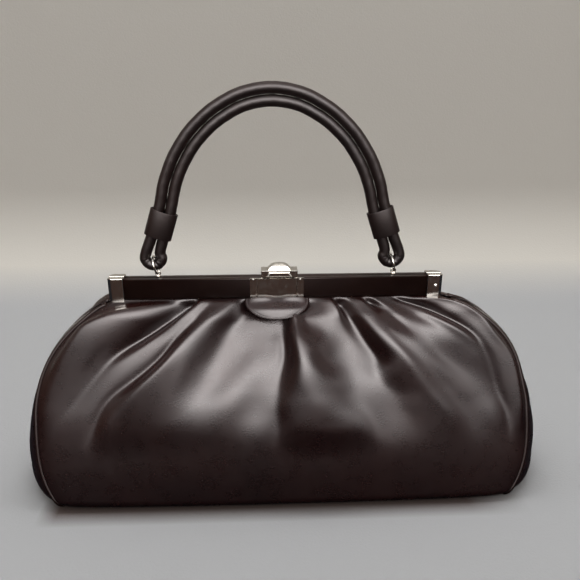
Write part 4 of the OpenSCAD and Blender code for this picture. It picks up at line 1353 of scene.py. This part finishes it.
@dataclass
class Hardware:
    """Solids that keep their shape and take a better finish."""

    finishes: Finishes
    edge: float = 0.25
    edge_angle: float = 35.0

    def build(self) -> None:
        """Dresses every carried-over solid."""
        nickel = ("front_left_cap", "front_right_cap", "rear_left_cap", "rear_right_cap",
                  "front_cap_rivet", "clasp_plate", "clasp_keeper", "clasp_lever", "clasp_bracket",
                  "left_eye", "right_eye", "left_ring", "right_ring", "left_hinge_rivet",
                  "right_hinge_rivet")
        steel = ("front_rail", "rear_rail", "front_inner_strip", "rear_inner_strip", "clasp_pin",
                 "clasp_spring")
        for name in nickel:
            self.polish(name, self.finishes.nickel)
        for name in steel:
            self.polish(name, self.finishes.steel)
        self.polish("clasp_thumb_piece", self.finishes.pitted)
        self.polish("base_board", self.finishes.board)

    def polish(self, name: str, material: bpy.types.Material) -> None:
        """Gives one solid a finish and eased edges."""
        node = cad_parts[name]
        node.data.materials.clear()
        node.data.materials.append(material)
        weld = node.modifiers.new("Weld", "WELD")
        weld.merge_threshold = 0.00001
        bevel = node.modifiers.new("Ease", "BEVEL")
        bevel.width = self.edge * MM
        bevel.segments = 2
        bevel.limit_method = "ANGLE"
        bevel.angle_limit = math.radians(self.edge_angle)


# Studio


@dataclass(frozen=True)
class Softbox:
    """A glowing sheet that fades towards its edges, in metres.

    size is where it has fallen to a third, mirrored shows it in shiny pieces, and fills lets it light
    dull ones.
    """

    name: str
    place: tuple[float, float, float]
    target: tuple[float, float, float]
    size: tuple[float, float]
    glow: float
    colour: Colour = (1.0, 1.0, 1.0)
    mirrored: bool = True
    fills: bool = True
    reach: float = 0.95

    def build(self) -> None:
        """Adds the sheet, facing its target."""
        axis = (Vector(self.target) - Vector(self.place)).normalized()
        right = axis.cross(Vector((0, 0, 1))).normalized()
        up = right.cross(axis)
        uv = np.array([(-1, -1), (-1, 1), (1, 1), (1, -1)]) * self.reach
        corners = [Vector(self.place) + right * (x * self.size[0]) + up * (y * self.size[1])
                   for x, y in uv.tolist()]
        piece = mesh_piece(self.name, np.array(corners) / MM, [(3, 2, 1, 0)], uv)
        sheet = NodeSheet.named(self.name)
        x, y = (sheet.axis(letter, sheet.place("UV")) for letter in ("X", "Y"))
        fall = ((x * x + y * y) * -4.0).math("EXPONENT")
        values = {"Color": self.colour, "Strength": fall * self.glow}
        glow = sheet.add("ShaderNodeEmission", {}, values)
        sheet.end(glow)
        piece.data.materials.append(sheet.owner)
        piece.visible_glossy, piece.visible_diffuse = self.mirrored, self.fills
        piece.visible_camera = False


@dataclass
class Studio:
    """Pale floor and backdrop, soft lamps and the camera at the photograph's angle."""

    camera_place: tuple[float, float, float] = (-5.8, -348.3, 252.4)
    yaw: float = 2.34
    pitch: float = 19.73
    floor_colour: Colour = (0.455, 0.465, 0.48)
    # Colour of the painted shadow on the floor along the bag's front foot
    painted_shadow_colour: Colour = (0.060, 0.030, 0.020)
    wall_colour: Colour = (0.72, 0.70, 0.65)
    # Painted reflection: dark colours the floor shows only in reflections, near the bag and further off
    painted_reflection_near: Colour = (0.016, 0.018, 0.024)
    painted_reflection_far: Colour = (0.040, 0.018, 0.012)
    wall_y: float = 0.42
    wall_top: float = 2.6
    floor_front: float = -3.0
    half_w: float = 2.5
    curve_r: float = 0.12
    room_low: float = 0.06
    room_high: float = 0.77
    room_warm: Colour = (1.0, 0.50, 0.28)
    room_pale: Colour = (1.0, 0.95, 0.90)
    room_seen: Colour = (0.46, 0.45, 0.42)

    def build(self) -> None:
        """Sets up floor, light and camera."""
        self.backdrop()
        self.lamps()
        self.camera()

    def backdrop(self) -> None:
        """Makes one sheet that is the floor in front and turns up into the wall behind; its floor carries a
        painted shadow along the bag's front foot and a painted dim reflection seen in shiny pieces.
        """
        radius = self.curve_r
        profile = [(self.floor_front, 0.0), (self.wall_y - radius, 0.0)]
        for turn in np.linspace(0, math.pi / 2, 9)[1:]:
            y = self.wall_y - radius + radius * math.sin(turn)
            profile.append((y, radius - radius * math.cos(turn)))
        profile.append((self.wall_y, self.wall_top))
        grid = np.array([[(x, *yz) for yz in profile] for x in (-self.half_w, self.half_w)]) / MM
        sweep = grid_piece("backdrop", grid)
        sheet = NodeSheet.named("pale_studio")
        wide, depth, height = (sheet.axis(letter) for letter in "XYZ")
        # Painted shadow: a dark brown band on the floor just in front of the bag's front foot stands in for
        # its contact shadow
        under = depth.span(-0.063, -0.050) * (1 - depth.span(-0.040, 0.010))
        under = under * wide.span(-0.150, -0.138) * (1 - wide.span(0.120, 0.158))
        floor_with_painted_shadow = sheet.mix(under * 0.85, self.floor_colour, self.painted_shadow_colour)
        # Painted reflection: to glossy rays the floor shows a dark colour, bluish near the bag and brown
        # further off, instead of its own lit colour
        painted_reflection = sheet.mix(depth.span(-0.34, -0.12), self.painted_reflection_far, self.painted_reflection_near)
        mirrored = sheet.add("ShaderNodeLightPath", output="Is Glossy Ray")
        floor = sheet.mix(mirrored, floor_with_painted_shadow, painted_reflection)
        paper = sheet.add("ShaderNodeBsdfPrincipled", {}, {
            "Base Color": sheet.mix(height.span(0.0, 0.03), floor, self.wall_colour),
            "Roughness": 0.9,
            "Specular IOR Level": 0.0,
            "Normal": sheet.bump(sheet.noise(1.6), 0.2),
        })
        behind = sheet.add("ShaderNodeNewGeometry", output="Backfacing")
        clear = sheet.add("ShaderNodeBsdfTransparent")
        sheet.end(sheet.add("ShaderNodeMixShader", {}, {0: behind, 1: paper, 2: clear}))
        sweep.data.materials.append(sheet.owner)

    def lamps(self) -> None:
        """Adds a broad window in front, a strip above it, a lamp over the floor and the room's own light."""
        aim = (0.0, 0.0, 0.06)
        boxes = (
            Softbox("window", (0.072, -1.32, 0.96), aim, (2.41, 1.19), 12.3, (1.0, 0.985, 0.975),
                    fills=False),
            Softbox("strip", (-0.044, -0.286, 1.378), aim, (1.42, 0.24), 2.4),
            Softbox("overhead", (0.0, 0.26, 1.45), (0.0, 0.12, 0.0), (1.3, 0.4), 11.0,
                    mirrored=False),
        )
        for box in boxes:
            box.build()
        world = bpy.data.worlds.new("studio_air")
        bpy.context.scene.world = world
        sheet = NodeSheet(world)
        height = sheet.axis("Z", sheet.place("Generated"))
        glow = height.span(-0.05, 0.6, self.room_low, self.room_high)
        colour = sheet.mix(height.span(0.0, 0.3), self.room_warm, self.room_pale)
        seen = sheet.add("ShaderNodeLightPath", output="Is Camera Ray")
        shown = sheet.mix(seen, colour, self.room_seen)
        air = sheet.add("ShaderNodeBackground", {}, {"Color": shown, "Strength": seen + (1 - seen) * glow})
        sheet.end(air, "ShaderNodeOutputWorld")

    def camera(self) -> None:
        """Adds the camera: as far away as the picture is wide, so lens equals sensor width."""
        data = bpy.data.cameras.new("camera")
        data.sensor_width = 36.0
        data.lens = 36.0
        data.clip_start = 0.01
        eye = bpy.data.objects.new("camera", data)
        bpy.context.scene.collection.objects.link(eye)
        eye.location = [v * MM for v in self.camera_place]
        eye.rotation_euler = (math.radians(90 - self.pitch), 0, math.radians(-self.yaw))
        bpy.context.scene.camera = eye


def main() -> None:
    """Builds the handbag piece by piece."""
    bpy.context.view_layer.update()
    bpy.context.scene.view_settings.view_transform = "Standard"
    finishes = Finishes()
    Studio().build()
    Hardware(finishes).build()
    FrameCovers(finishes).build()
    SoftBody(finishes).build()
    Lining(finishes).build()
    LockTab(finishes).build()
    Handle(finishes).build()


if __name__ == "__main__":
    logging.basicConfig(level=logging.INFO, format="%(name)s %(message)s")
    main()
